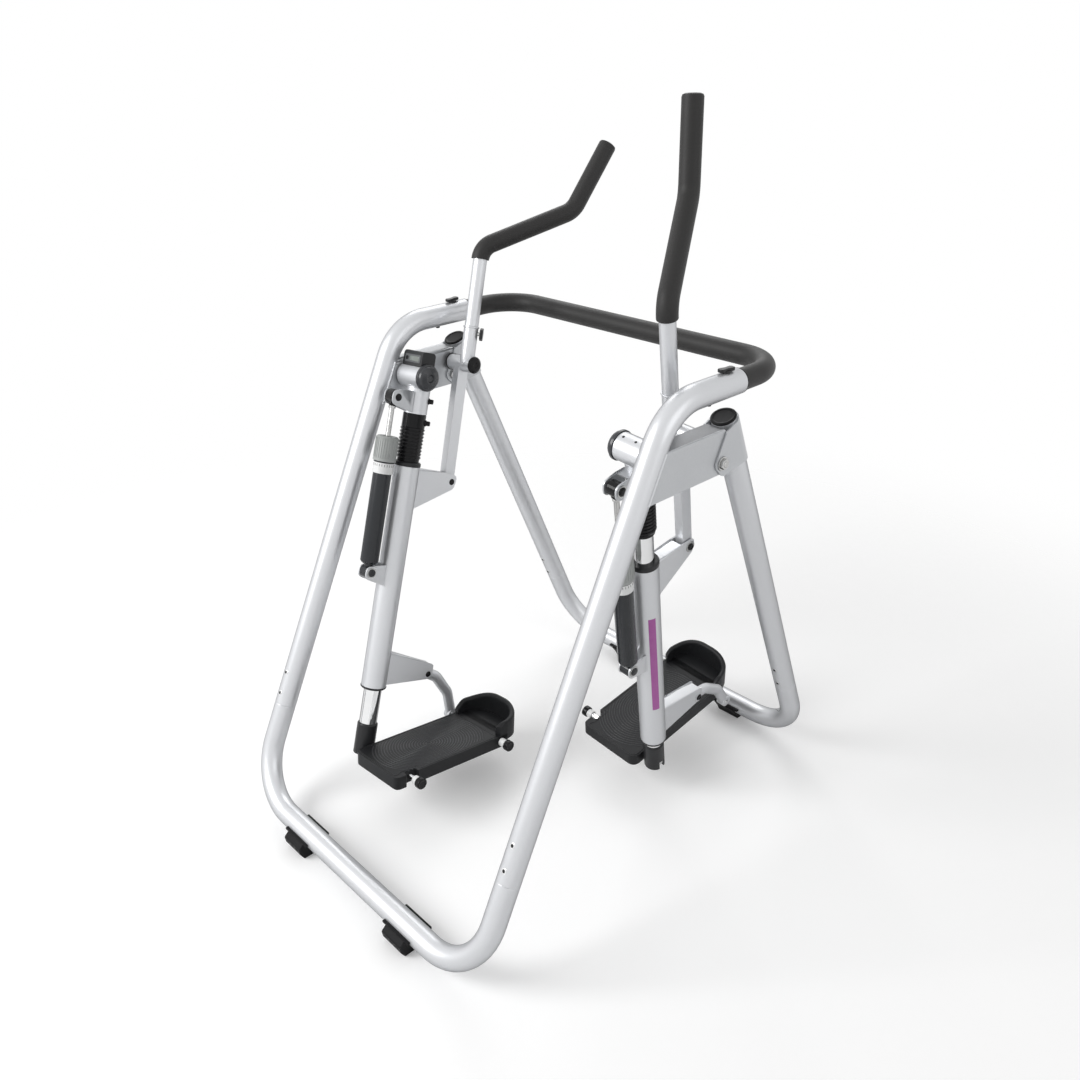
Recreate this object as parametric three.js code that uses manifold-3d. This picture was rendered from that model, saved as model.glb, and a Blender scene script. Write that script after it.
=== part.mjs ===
// Folding air walker: a tube frame, two swinging telescoping foot legs, dampers and hand levers.
// Millimetres. +X is the user's right, +Y the way the user faces, +Z up. The origin lies on the floor
// under the middle of the frame.
import * as THREE from 'three';
import { mergeVertices } from 'three/addons/utils/BufferGeometryUtils.js';
import Module from 'manifold-3d';

const wasm = await Module();
wasm.setup();

// Driving dimensions, shared by all pieces
const degree = Math.PI / 180;
const fit = 0.3;
const overrun = 20;
const sides = { frame: 10, tube: 10, handle: 8, round: 12, pin: 8 };
const bendSteps = 4;
const domeRings = 3;

const frameTube = { radius: 22.25, wall: 2.5 };
const frame = {
  halfWidth: 356,
  length: 985,
  axisHeight: 37.25,
  seamRun: 200,
  rearBend: 117,
  frontBend: 128,
};
const spigot = { length: 90, root: 12, wall: 2.5 };
const sideTube = { cornerY: 453.4, cornerZ: 930.9, bend: 107, endY: 632 };
const frontLeg = { topY: 600.5, topZ: 876.3 };
const handrail = {
  frontY: 768,
  bend: 84,
  insert: 105,
  tubeRadius: 16,
  wall: 2,
  foamRadius: 19.7,
  ring: 3.5,
};
const railKnob = {
  y: 599,
  stemRadius: 5,
  collarRadius: 7.5,
  collarHeight: 2,
  length: 33,
  width: 15,
  thick: 5,
  cornerShare: 0.4,
};
const legCap = { head: 3, plug: 15, crown: 2 };

const bracket = {
  top: 864,
  bottom: 785,
  halfWidth: 22,
  plate: 3,
  rearOffset: 9,
  noseRadius: 20,
  noseFall: 16,
};
const foldBolt = {
  back: 54.07,
  drop: 53.045,
  radius: 5,
  washerRadius: 10,
  washer: 2,
  headRadius: 8.5,
  head: 6,
};
const gusset = {
  plate: 3,
  sideGap: 0.5,
  top: 6,
  reach: 75,
  outline: { topRear: 25, rear: 73, rearDrop: 46, low: 62, lowDrop: 78, frontDrop: 101, front: 30 },
  cornerRadius: 4,
  noseRadius: 15,
};

// The mechanism plane of each side is tilted, and every axle of it is square to that plane
const hip = {
  inset: 63,
  y: 449.2,
  z: 837.8,
  tilt: 5 * degree,
  axleRadius: 12.5,
  axleInner: 22,
};
const legAngles = { left: -19.4 * degree, right: 12.3 * degree };
const legOffset = 8;

const sleeve = { radius: 25, outer: 37, inner: 29 };
const stub = { radius: 24, bottom: 75 };
const ear = { halfWidth: 13.8, plate: 3, endRadius: 14, rise: 15, foot: 73, webEnd: 40 };
const hipCap = { radius: 27, skirt: 6, dome: 16, plug: 6 };
const counter = { inner: 30, outer: 33, halfDepth: 17, height: 25, crownRadius: 9 };

const chrome = { radius: 19, wall: 2, top: 31 };
const bumper = { radius: 24, collarRadius: 25.5, plain: 28 };
const outerTube = { radius: 26.8, wall: 3.5, top: 183.3, rodGap: 139.9 };
const topBush = { radius: 28, flange: 9, spigot: 22 };
const bottomBush = { radius: 27.8, flange: 5, spigot: 22 };

const upperBracket = {
  halfWidth: 13,
  plate: 2.5,
  top: 187,
  pinRun: 113.5,
  pinDrop: 210,
  endRadius: 15,
  foot: 271,
  webEnd: 90,
};
const lowerBracket = {
  halfWidth: 13,
  plate: 2.5,
  topRise: 75.6,
  tipRun: 146,
  tipRise: 36.6,
  pinRun: 134.5,
  pinRise: 16.1,
  endRadius: 11.5,
  footRise: 2.6,
  toeRadius: 3,
};

const damper = {
  run: 59.2,
  topDrop: 46.3,
  bottomDrop: 409,
  rodRadius: 6.5,
  eyeRadius: 14,
  eyeHalfWidth: 10.5,
  neckRadius: 9,
  pinRadius: 6,
  capRadius: 9,
  cap: 4,
  cylinderRadius: 19,
  collarRadius: 20.5,
  collarTop: 177,
  collarBottom: 202,
  cylinderBottom: 391,
  wall: 3,
  head: 12,
  pistonDrop: 305,
  pistonLength: 16,
};
const dial = { top: 126, radius: 23.5, ribs: 20, ribShare: 0.955 };
const lugOutline = { top: 393, foot: 438, endRadius: 13 };

const lever = {
  pivotRun: 119,
  pivotRise: 1.5,
  length: 252,
  hubRadius: 16.5,
  hubOuter: 34,
  hubInner: 37,
  axleRadius: 7.5,
  axleInner: 28,
  barWidth: 18,
  barDepth: 26,
  barSetback: 2.5,
  pinClearance: 4.5,
};
const leverCap = { radius: 17.5, skirt: 2, dome: 4, plug: 6 };
const socket = {
  offset: 17.2,
  setback: 3,
  radius: 15,
  bottom: 19,
  top: 78,
  rim: 3,
  rimStep: 1.6,
};
const leverKnob = { z: 64, turn: 45 * degree, stemRadius: 4, stem: 4, radius: 13.5, thick: 7 };
const handle = { radius: 14.3, spigot: 12, wall: 2, topGap: 12 };
const grip = {
  radius: 18.3,
  bottom: 215,
  elbow: 237,
  shoulder: { x: 101.4, y: 158.3, z: 342.2 },
  top: { x: 127.7, y: 205.9, z: 485.1 },
  elbowBend: 40,
  shoulderBend: 50,
};
const linkBolt = { radius: 4, headRadius: 9, head: 4 };

const rearRod = { drop: 802.5, radius: 6, end: 19 };
const frontRodRun = 239.5;
const rodKnob = { radius: 12, thick: 12, centre: 202 };
const arm = {
  length: 149,
  radius: 12.5,
  flatShare: 0.76,
  eyeRadius: 11,
  pinRadius: 4.5,
  bulgeHigh: 18,
  bulgeHighDrop: 36,
  bulgeLow: 20,
  bulgeLowDrop: 96,
  bend: 34,
};
const fork = { radius: 22, rise: 55, fall: 14.5, socketDepth: 33 };
const pedal = {
  outer: 23,
  inner: 175,
  rear: 40,
  front: 310,
  top: 12,
  bottom: 16,
  lipStart: 256,
  lipDrop: 3,
  cornerRadius: 20,
  toeRadius: 62,
  toeStart: 234,
  toeTop: 60,
  toeSide: 42,
  toeWall: 11,
  frontClearance: 2.2,
  notchHalf: 14,
  notchDepth: 13,
};

const foot = {
  inset: 187,
  halfBlock: 28,
  halfFlange: 38,
  flangeReach: 28,
  flange: 5,
  bulge: 38.5,
  bulgeDrop: 9.3,
  waist: 36.2,
  waistDrop: 23.4,
  soleBack: 28,
  soleFront: 7,
  chinFront: 14,
  lipDrop: 4.7,
};

// Materials
const silver = new THREE.MeshStandardMaterial({ color: 0xc9ccd0, roughness: 0.34, metalness: 0.6 });
const chromed = new THREE.MeshStandardMaterial({ color: 0xe2e4e6, roughness: 0.1, metalness: 1 });
const blackPlastic = new THREE.MeshStandardMaterial({ color: 0x1d1f22, roughness: 0.45, metalness: 0 });
const blackRubber = new THREE.MeshStandardMaterial({ color: 0x232426, roughness: 0.7, metalness: 0 });
const foam = new THREE.MeshStandardMaterial({ color: 0x2b2a29, roughness: 0.92, metalness: 0 });
const dialGrey = new THREE.MeshStandardMaterial({ color: 0x8d9190, roughness: 0.6, metalness: 0 });
const counterGrey = new THREE.MeshStandardMaterial({ color: 0x3b3f43, roughness: 0.5, metalness: 0 });
const zinc = new THREE.MeshStandardMaterial({ color: 0xb8babb, roughness: 0.3, metalness: 0.9 });

// A hole's corners lie outside the round that passes through it, so that its flats clear it
function clear(radius, count) {
  return (radius + fit) / Math.cos(Math.PI / count);
}

// A closed three.js geometry becomes a solid that can be joined and cut
function solid(geometry) {
  const plain = geometry.clone();
  for (const name of Object.keys(plain.attributes)) {
    if (name !== 'position') plain.deleteAttribute(name);
  }
  const merged = mergeVertices(plain);
  const corners = merged.getIndex().array;
  const kept = [];
  for (let i = 0; i < corners.length; i += 3) {
    const [a, b, c] = [corners[i], corners[i + 1], corners[i + 2]];
    if (a !== b && b !== c && c !== a) kept.push(a, b, c);
  }
  const positions = merged.getAttribute('position').array;
  if (signedVolume(positions, kept) < 0) kept.reverse();
  const mesh = new wasm.Mesh({
    numProp: 3,
    vertProperties: new Float32Array(positions),
    triVerts: new Uint32Array(kept),
  });
  return new wasm.Manifold(mesh);
}

function signedVolume(positions, corners) {
  const [a, b, c] = [new THREE.Vector3(), new THREE.Vector3(), new THREE.Vector3()];
  let volume = 0;
  for (let i = 0; i < corners.length; i += 3) {
    a.fromArray(positions, 3 * corners[i]);
    b.fromArray(positions, 3 * corners[i + 1]);
    c.fromArray(positions, 3 * corners[i + 2]);
    volume += a.dot(b.cross(c));
  }
  return volume;
}

function fuse(...bodies) {
  return bodies.reduce((whole, body) => whole.add(body));
}

function cut(body, ...tools) {
  return tools.reduce((rest, tool) => rest.subtract(tool), body);
}

// One named mesh from a solid. Pieces are drawn for the right side; sign -1 mirrors them to the left
function piece(name, body, material, sign = 1) {
  const { vertProperties, triVerts } = body.getMesh();
  const positions = Float32Array.from(vertProperties, (value, i) => (i % 3 === 0 ? sign * value : value));
  const corners = Array.from(triVerts);
  if (sign < 0) corners.reverse();
  const geometry = new THREE.BufferGeometry();
  geometry.setAttribute('position', new THREE.BufferAttribute(positions, 3));
  geometry.setIndex(corners);
  geometry.computeVertexNormals();
  const mesh = new THREE.Mesh(geometry, material.clone());
  mesh.name = name;
  return mesh;
}

// A path through corners with round bends: one ring at each end of a straight run, several in a bend
class Route extends THREE.Curve {
  constructor(corners) {
    super();
    this.points = [];
    this.tangents = [];
    corners.forEach((corner, i) => {
      const before = corners[i - 1];
      const after = corners[i + 1];
      if (before && after && corner.bend) this.addBend(before.at, corner.at, after.at, corner.bend);
      else this.addPoint(corner.at, (after ?? corner).at.clone().sub((after ? corner : before).at));
    });
  }

  addPoint(point, direction) {
    this.points.push(point.clone());
    this.tangents.push(direction.clone().normalize());
  }

  addBend(before, corner, after, radius) {
    const arriving = corner.clone().sub(before).normalize();
    const leaving = after.clone().sub(corner).normalize();
    const turn = arriving.angleTo(leaving);
    const start = corner.clone().addScaledVector(arriving, -radius * Math.tan(turn / 2));
    const side = leaving.clone().addScaledVector(arriving, -Math.cos(turn)).normalize();
    for (let step = 0; step <= bendSteps; step += 1) {
      const angle = (turn * step) / bendSteps;
      const point = start.clone().addScaledVector(arriving, radius * Math.sin(angle));
      point.addScaledVector(side, radius * (1 - Math.cos(angle)));
      const heading = arriving.clone().multiplyScalar(Math.cos(angle)).addScaledVector(side, Math.sin(angle));
      this.addPoint(point, heading);
    }
  }

  getSpacedPoints() {
    return this.points;
  }

  getTangentAt(share, target = new THREE.Vector3()) {
    return target.copy(this.tangents[Math.round(share * (this.tangents.length - 1))]);
  }
}

function corner(x, y, z, bend = 0) {
  return { at: new THREE.Vector3(x, y, z), bend };
}

function circlePoints(radius, count) {
  return Array.from({ length: count }, (_, i) => {
    const angle = (2 * Math.PI * i) / count;
    return new THREE.Vector2(radius * Math.cos(angle), radius * Math.sin(angle));
  });
}

// A tube along a route; with a bore it is open at both ends
function tube(corners, radius, bore = 0, count = sides.tube) {
  const section = new THREE.Shape(circlePoints(radius, count));
  if (bore > 0) section.holes.push(new THREE.Path(circlePoints(clear(bore - fit, count), count)));
  const route = new Route(corners);
  return solid(new THREE.ExtrudeGeometry(section, { steps: route.points.length - 1, extrudePath: route }));
}

// A turned piece: profile rows are [radius, place along the axis]. A loop closes on itself
function turnedGeometry(profile, count) {
  const points = profile.map(([radius, along]) => new THREE.Vector2(radius, along));
  if (points[0].x > 0) points.push(points[0].clone());
  return new THREE.LatheGeometry(points, count);
}

function turnedAlongX(profile, y = 0, z = 0, count = sides.round) {
  return solid(turnedGeometry(profile, count).rotateZ(-Math.PI / 2).translate(0, y, z));
}

function turnedAlongZ(profile, x = 0, y = 0, count = sides.round) {
  return solid(turnedGeometry(profile, count).rotateX(Math.PI / 2).translate(x, y, 0));
}

function rodAlongX(radius, from, to, y = 0, z = 0, count = sides.round) {
  return turnedAlongX([[0, from], [radius, from], [radius, to], [0, to]], y, z, count);
}

function rodAlongZ(radius, from, to, x = 0, y = 0, count = sides.round) {
  return turnedAlongZ([[0, from], [radius, from], [radius, to], [0, to]], x, y, count);
}

function block(x, y, z) {
  const geometry = new THREE.BoxGeometry(x[1] - x[0], y[1] - y[0], z[1] - z[0]);
  return solid(geometry.translate((x[0] + x[1]) / 2, (y[0] + y[1]) / 2, (z[0] + z[1]) / 2));
}

// An outline of [across, up, corner radius] rows, with an arc at each rounded corner
function outline(rows) {
  const shape = new THREE.Shape();
  const points = rows.map(([across, up]) => new THREE.Vector2(across, up));
  rows.forEach(([, , radius], i) => {
    const point = points[i];
    const before = points.at(i - 1);
    const after = points[(i + 1) % points.length];
    if (!radius) {
      if (i === 0) shape.moveTo(point.x, point.y);
      else shape.lineTo(point.x, point.y);
      return;
    }
    const arriving = point.clone().sub(before).normalize();
    const leaving = after.clone().sub(point).normalize();
    const turn = Math.atan2(arriving.cross(leaving), arriving.dot(leaving));
    const start = point.clone().addScaledVector(arriving, -radius * Math.tan(Math.abs(turn) / 2));
    const side = Math.sign(turn);
    const inward = new THREE.Vector2(-arriving.y, arriving.x).multiplyScalar(side * radius);
    const centre = start.clone().add(inward);
    const from = Math.atan2(start.y - centre.y, start.x - centre.x);
    if (i === 0) shape.moveTo(start.x, start.y);
    else shape.lineTo(start.x, start.y);
    shape.absarc(centre.x, centre.y, radius, from, from + turn, turn < 0);
  });
  shape.closePath();
  return shape;
}

const alongX = new THREE.Matrix4().makeBasis(
  new THREE.Vector3(0, 1, 0),
  new THREE.Vector3(0, 0, 1),
  new THREE.Vector3(1, 0, 0),
);

// A plate drawn in the (y, z) plane that runs from one x to another
function plateAcross(rows, from, to) {
  const geometry = new THREE.ExtrudeGeometry(outline(rows), {
    depth: to - from,
    bevelEnabled: false,
    curveSegments: 3,
  });
  return solid(geometry.applyMatrix4(alongX).translate(from, 0, 0));
}

// A plate drawn in the (x, y) plane that runs from one height to another
function plateUp(rows, from, to, curveSegments = 3) {
  const settings = { depth: to - from, bevelEnabled: false, curveSegments };
  return solid(new THREE.ExtrudeGeometry(outline(rows), settings).translate(0, 0, from));
}

// A folded U of sheet: two side plates joined by a web along the rows named as its roof
function channel(rows, roof, halfWidth, sheet) {
  const plates = [-1, 1].map((side) => {
    const faces = [side * halfWidth, side * (halfWidth - sheet)].sort((a, b) => a - b);
    return plateAcross(rows, faces[0], faces[1]);
  });
  return fuse(...plates, plateAcross(roof, -halfWidth, halfWidth));
}

function moved(geometrySolid, x, y, z) {
  return geometrySolid.translate([x, y, z]);
}

// Frame: positions are given from the floor tubes' axis height and the rear floor tube
const memberLength = Math.hypot(sideTube.cornerY, sideTube.cornerZ);
const sideDirection = new THREE.Vector3(0, sideTube.cornerY / memberLength, sideTube.cornerZ / memberLength);
const frontRun = frame.length - frontLeg.topY;
const frontLength = Math.hypot(frontRun, frontLeg.topZ);
const frontDirection = new THREE.Vector3(0, -frontRun / frontLength, frontLeg.topZ / frontLength);
const frontForward = new THREE.Vector3(0, frontDirection.z, -frontDirection.y);
const legTop = new THREE.Vector3(frame.halfWidth, frontLeg.topY, frontLeg.topZ);
const foldAxis = legTop
  .clone()
  .addScaledVector(frontForward, -foldBolt.back)
  .addScaledVector(frontDirection, -foldBolt.drop);
const hipX = frame.halfWidth - hip.inset;
const frameBore = frameTube.radius - frameTube.wall;
const slideRadius = frameBore - fit;

function spigotAt(seam, direction) {
  const bore = slideRadius - spigot.wall;
  const rootRadius = frameTube.radius - frameTube.wall / 2;
  const profile = [
    [bore, -spigot.root],
    [rootRadius, -spigot.root],
    [rootRadius, -fit],
    [slideRadius, -fit],
    [slideRadius, spigot.length],
    [bore, spigot.length],
  ];
  const turn = new THREE.Quaternion().setFromUnitVectors(new THREE.Vector3(0, 1, 0), direction);
  const geometry = turnedGeometry(profile, sides.pin).applyQuaternion(turn);
  return solid(geometry.translate(seam.x, seam.y, seam.z));
}

function floorBar(y, direction, bend) {
  const seams = [-1, 1].map((side) => {
    const seam = new THREE.Vector3(side * frame.halfWidth, y, 0);
    return seam.addScaledVector(direction, frame.seamRun);
  });
  const corners = [
    { at: seams[0] },
    corner(-frame.halfWidth, y, 0, bend),
    corner(frame.halfWidth, y, 0, bend),
    { at: seams[1] },
  ];
  const bar = tube(corners, frameTube.radius, frameBore, sides.frame);
  return fuse(bar, ...seams.map((seam) => spigotAt(seam, direction)));
}

function gussetMatrix() {
  const basis = new THREE.Matrix4().makeBasis(new THREE.Vector3(1, 0, 0), frontForward, frontDirection);
  return basis.setPosition(legTop);
}

function inLegFrame(body) {
  return body.transform(gussetMatrix().elements);
}

// The sheet that wraps the front leg and carries the fold bolt
function gussetBody() {
  const inner = bracket.halfWidth + gusset.sideGap;
  const outer = inner + gusset.plate;
  const wrapInner = frameBore;
  const wrap = new THREE.Shape();
  wrap.moveTo(outer, -gusset.reach);
  wrap.lineTo(outer, 0);
  wrap.absarc(0, 0, outer, 0, Math.PI, false);
  wrap.lineTo(-outer, -gusset.reach);
  wrap.lineTo(-inner, -gusset.reach);
  wrap.lineTo(-inner, 0);
  wrap.lineTo(-wrapInner, 0);
  wrap.absarc(0, 0, wrapInner, Math.PI, 0, true);
  wrap.lineTo(inner, 0);
  wrap.lineTo(inner, -gusset.reach);
  wrap.closePath();
  const { topRear, rear, rearDrop, low, lowDrop, frontDrop, front } = gusset.outline;
  const sheet = new THREE.ExtrudeGeometry(wrap, {
    depth: frontDrop + overrun,
    bevelEnabled: false,
    curveSegments: 5,
  });
  const sideView = plateAcross(
    [
      [front, -gusset.top],
      [-topRear, -gusset.top, gusset.cornerRadius],
      [-rear, -rearDrop, gusset.noseRadius],
      [-low, -lowDrop, gusset.noseRadius],
      [front, -frontDrop],
    ],
    -outer - overrun,
    outer + overrun,
  );
  return inLegFrame(moved(solid(sheet), 0, 0, -frontDrop - overrun).intersect(sideView));
}

// The hip axle and the lever axle stand on the tilted mechanism plane
function inSideFrame(body) {
  const matrix = new THREE.Matrix4().makeRotationY(hip.tilt).setPosition(hipX, hip.y, hip.z);
  return body.transform(matrix.elements);
}

const axleOuter = (hip.inset + bracket.halfWidth - bracket.plate / 2) / Math.cos(hip.tilt);

function axleBody(radius, inner, y = 0, z = 0) {
  return inSideFrame(rodAlongX(radius, -inner, axleOuter, y, z));
}

function sideBracketBody() {
  const slope = sideTube.cornerY / sideTube.cornerZ;
  const rear = (z) => z * slope + bracket.rearOffset;
  const webUnder = bracket.top - bracket.plate;
  const legBack = frontLeg.topY + ((frontLeg.topZ - bracket.top) * frontRun) / frontLeg.topZ;
  const webEnd = legBack - frameTube.radius / frontDirection.z - fit - bracket.plate / 2;
  const nose = foldAxis.y + bracket.noseRadius;
  const rows = [
    [rear(bracket.bottom), bracket.bottom],
    [nose, bracket.bottom, bracket.noseRadius],
    [nose, foldAxis.z + bracket.noseFall, bracket.plate],
    [webEnd, bracket.top],
    [rear(bracket.top), bracket.top],
  ];
  const roof = [
    [rear(webUnder), webUnder],
    [webEnd, webUnder],
    [webEnd, bracket.top],
    [rear(bracket.top), bracket.top],
  ];
  const body = moved(channel(rows, roof, bracket.halfWidth, bracket.plate), frame.halfWidth, 0, 0);
  const boltHole = rodAlongX(
    clear(foldBolt.radius, sides.pin),
    frame.halfWidth - bracket.halfWidth - overrun,
    frame.halfWidth + bracket.halfWidth + overrun,
    foldAxis.y,
    foldAxis.z,
    sides.pin,
  );
  return cut(body, boltHole);
}

function sideFrame() {
  const x = frame.halfWidth;
  const start = new THREE.Vector3(x, 0, 0).addScaledVector(sideDirection, frame.seamRun + fit);
  const path = [
    { at: start },
    corner(x, sideTube.cornerY, sideTube.cornerZ, sideTube.bend),
    corner(x, sideTube.endY, sideTube.cornerZ),
  ];
  const member = tube(path, frameTube.radius, frameBore, sides.frame);
  const core = tube(path, frameTube.radius - frameTube.wall / 2, 0, sides.frame);
  const knobHole = rodAlongZ(
    clear(railKnob.stemRadius, sides.pin),
    sideTube.cornerZ,
    sideTube.cornerZ + frameTube.radius + overrun,
    x,
    railKnob.y,
    sides.pin,
  );
  const axles = fuse(
    axleBody(hip.axleRadius, hip.axleInner),
    axleBody(lever.axleRadius, lever.axleInner, lever.pivotRun, lever.pivotRise),
  );
  return fuse(cut(member, knobHole), cut(sideBracketBody(), core), axles);
}

function frontLegBody() {
  const x = frame.halfWidth;
  const start = new THREE.Vector3(x, frame.length, 0).addScaledVector(frontDirection, frame.seamRun + fit);
  const end = legTop.clone().addScaledVector(frontDirection, -legCap.head);
  const path = [{ at: start }, { at: end }];
  const core = tube(path, frameTube.radius - frameTube.wall / 2, 0, sides.frame);
  const boltHole = rodAlongX(
    clear(foldBolt.radius, sides.pin),
    x - bracket.halfWidth - overrun,
    x + bracket.halfWidth + overrun,
    foldAxis.y,
    foldAxis.z,
    sides.pin,
  );
  const reliefRadius = lever.axleRadius + bracket.plate + fit;
  const relief = axleBody(reliefRadius, lever.axleInner, lever.pivotRun, lever.pivotRise);
  const wrap = cut(gussetBody(), boltHole, relief.trimByPlane([-1, 0, 0], -x), core);
  return fuse(tube(path, frameTube.radius, frameBore, sides.frame), wrap);
}

function legCapBody() {
  const profile = [
    [0, -legCap.head - legCap.plug],
    [slideRadius, -legCap.head - legCap.plug],
    [slideRadius, fit - legCap.head],
    [frameTube.radius, fit - legCap.head],
    [frameTube.radius, -legCap.crown],
    [frameTube.radius - legCap.crown, 0],
    [0, 0],
  ];
  return inLegFrame(turnedAlongZ(profile, 0, 0, sides.frame));
}

function foldBoltBody() {
  const face = bracket.halfWidth + gusset.sideGap + gusset.plate + fit;
  const profile = [
    [0, -face - foldBolt.head],
    [foldBolt.headRadius, -face - foldBolt.head],
    [foldBolt.headRadius, -face],
    [foldBolt.radius, -face],
    [foldBolt.radius, face],
    [foldBolt.washerRadius, face],
    [foldBolt.washerRadius, face + foldBolt.washer],
    [foldBolt.headRadius, face + foldBolt.washer],
    [foldBolt.headRadius, face + foldBolt.washer + foldBolt.head],
    [0, face + foldBolt.washer + foldBolt.head],
  ];
  const body = turnedAlongX(profile, 0, 0, sides.pin);
  return moved(body, foldAxis.x, foldAxis.y, foldAxis.z);
}

function handrailPath(from) {
  return [
    corner(-frame.halfWidth, from, sideTube.cornerZ),
    corner(-frame.halfWidth, handrail.frontY, sideTube.cornerZ, handrail.bend),
    corner(frame.halfWidth, handrail.frontY, sideTube.cornerZ, handrail.bend),
    corner(frame.halfWidth, from, sideTube.cornerZ),
  ];
}

// The handrail's tube carries a thick sleeve at each end, which slides in the side frame
function handrailTubeBody() {
  const start = sideTube.endY - handrail.insert;
  const bore = handrail.tubeRadius - handrail.wall;
  const sleeves = [-1, 1].map((side) => {
    const x = side * frame.halfWidth;
    const ends = [corner(x, start, sideTube.cornerZ), corner(x, sideTube.endY, sideTube.cornerZ)];
    return tube(ends, slideRadius, bore, sides.frame);
  });
  return fuse(tube(handrailPath(start), handrail.tubeRadius, bore, sides.frame), ...sleeves);
}

// Foam over the handrail, with an end ring as wide as the frame tube
function handrailFoamBody() {
  const start = sideTube.endY + fit;
  const bore = handrail.tubeRadius + fit;
  const rings = [-1, 1].map((side) => {
    const x = side * frame.halfWidth;
    const ends = [corner(x, start, sideTube.cornerZ), corner(x, start + handrail.ring, sideTube.cornerZ)];
    return tube(ends, frameTube.radius, bore, sides.frame);
  });
  return fuse(tube(handrailPath(start), handrail.foamRadius, bore, sides.frame), ...rings);
}

function railKnobBody() {
  const top = sideTube.cornerZ + frameTube.radius + fit;
  const half = railKnob.width / 2;
  const wing = plateUp(
    [
      [-half, -railKnob.length / 2, railKnob.width * railKnob.cornerShare],
      [half, -railKnob.length / 2, railKnob.width * railKnob.cornerShare],
      [half, railKnob.length / 2, railKnob.width * railKnob.cornerShare],
      [-half, railKnob.length / 2, railKnob.width * railKnob.cornerShare],
    ],
    top + railKnob.collarHeight - fit,
    top + railKnob.collarHeight + railKnob.thick,
  );
  const collar = rodAlongZ(railKnob.collarRadius, top, top + railKnob.collarHeight, 0, 0, sides.pin);
  const stemEnd = sideTube.cornerZ + slideRadius + fit;
  const stem = rodAlongZ(railKnob.stemRadius, stemEnd, top + fit, 0, 0, sides.pin);
  return moved(fuse(wing, collar, stem), frame.halfWidth, railKnob.y, 0);
}

// A saddle foot under a floor tube; the front feet face the other way
function footBody(towards, y) {
  const rows = [
    [-foot.flangeReach, 0],
    [-foot.bulge, -foot.bulgeDrop],
    [-foot.waist, -foot.waistDrop],
    [-foot.soleBack, -frame.axisHeight],
    [foot.soleFront, -frame.axisHeight],
    [foot.chinFront, -foot.waistDrop],
    [foot.flangeReach, -foot.lipDrop],
    [foot.flangeReach, 0],
  ].map(([across, up]) => [towards * across, up]);
  if (towards < 0) rows.reverse();
  const body = fuse(
    plateAcross(rows, -foot.halfBlock, foot.halfBlock),
    block(
      [-foot.halfFlange, foot.halfFlange],
      [-foot.flangeReach, foot.flangeReach],
      [-foot.flange / 2, foot.flange / 2],
    ),
  );
  const seatRadius = clear(frameTube.radius, sides.frame);
  const seat = rodAlongX(seatRadius, -foot.halfFlange - overrun, foot.halfFlange + overrun);
  return moved(cut(body, seat), frame.halfWidth - foot.inset, y, 0);
}

// The lower end of the telescoping leg is placed from the foot plate's rear rod
const outerBottom = rearRod.drop - outerTube.rodGap;
const armPinDrop = outerBottom - lowerBracket.pinRise;
const forkTop = rearRod.drop - fork.rise;
const forkBottom = rearRod.drop + fork.fall;

// Linkage of one side, in its own plane: y forward and z up from the hip axle
function solveLinkage(legAngle) {
  const down = new THREE.Vector2(Math.sin(legAngle), -Math.cos(legAngle));
  const forward = new THREE.Vector2(Math.cos(legAngle), Math.sin(legAngle));
  const at = (run, drop) => {
    return forward.clone().multiplyScalar(legOffset + run).addScaledVector(down, drop);
  };
  const pivot = new THREE.Vector2(lever.pivotRun, lever.pivotRise);
  const reach = at(upperBracket.pinRun, upperBracket.pinDrop).sub(pivot);
  const along = reach.dot(down);
  const slide = Math.sqrt(along * along - reach.lengthSq() + lever.length * lever.length) - along;
  const link = reach.clone().addScaledVector(down, slide);
  const rod = at(0, rearRod.drop);
  const armPin = at(lowerBracket.pinRun, armPinDrop + slide);
  const span = armPin.clone().sub(rod);
  const distance = span.length();
  const opening = (frontRodRun ** 2 + distance ** 2 - arm.length ** 2) / (2 * frontRodRun * distance);
  const pedalAngle = Math.atan2(span.y, span.x) - Math.acos(opening);
  const plateAxis = new THREE.Vector2(Math.cos(pedalAngle), Math.sin(pedalAngle));
  const armSpan = rod.clone().addScaledVector(plateAxis, frontRodRun).sub(armPin);
  return {
    slide,
    leverAngle: Math.atan2(link.x, -link.y),
    pedalAngle,
    armAngle: Math.atan2(armSpan.x, -armSpan.y),
    rod,
    armPin,
  };
}

function damperPinHole(z) {
  const radius = clear(damper.pinRadius, sides.pin);
  return rodAlongX(radius, -overrun, overrun, legOffset - damper.run, z, sides.pin);
}

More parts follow.
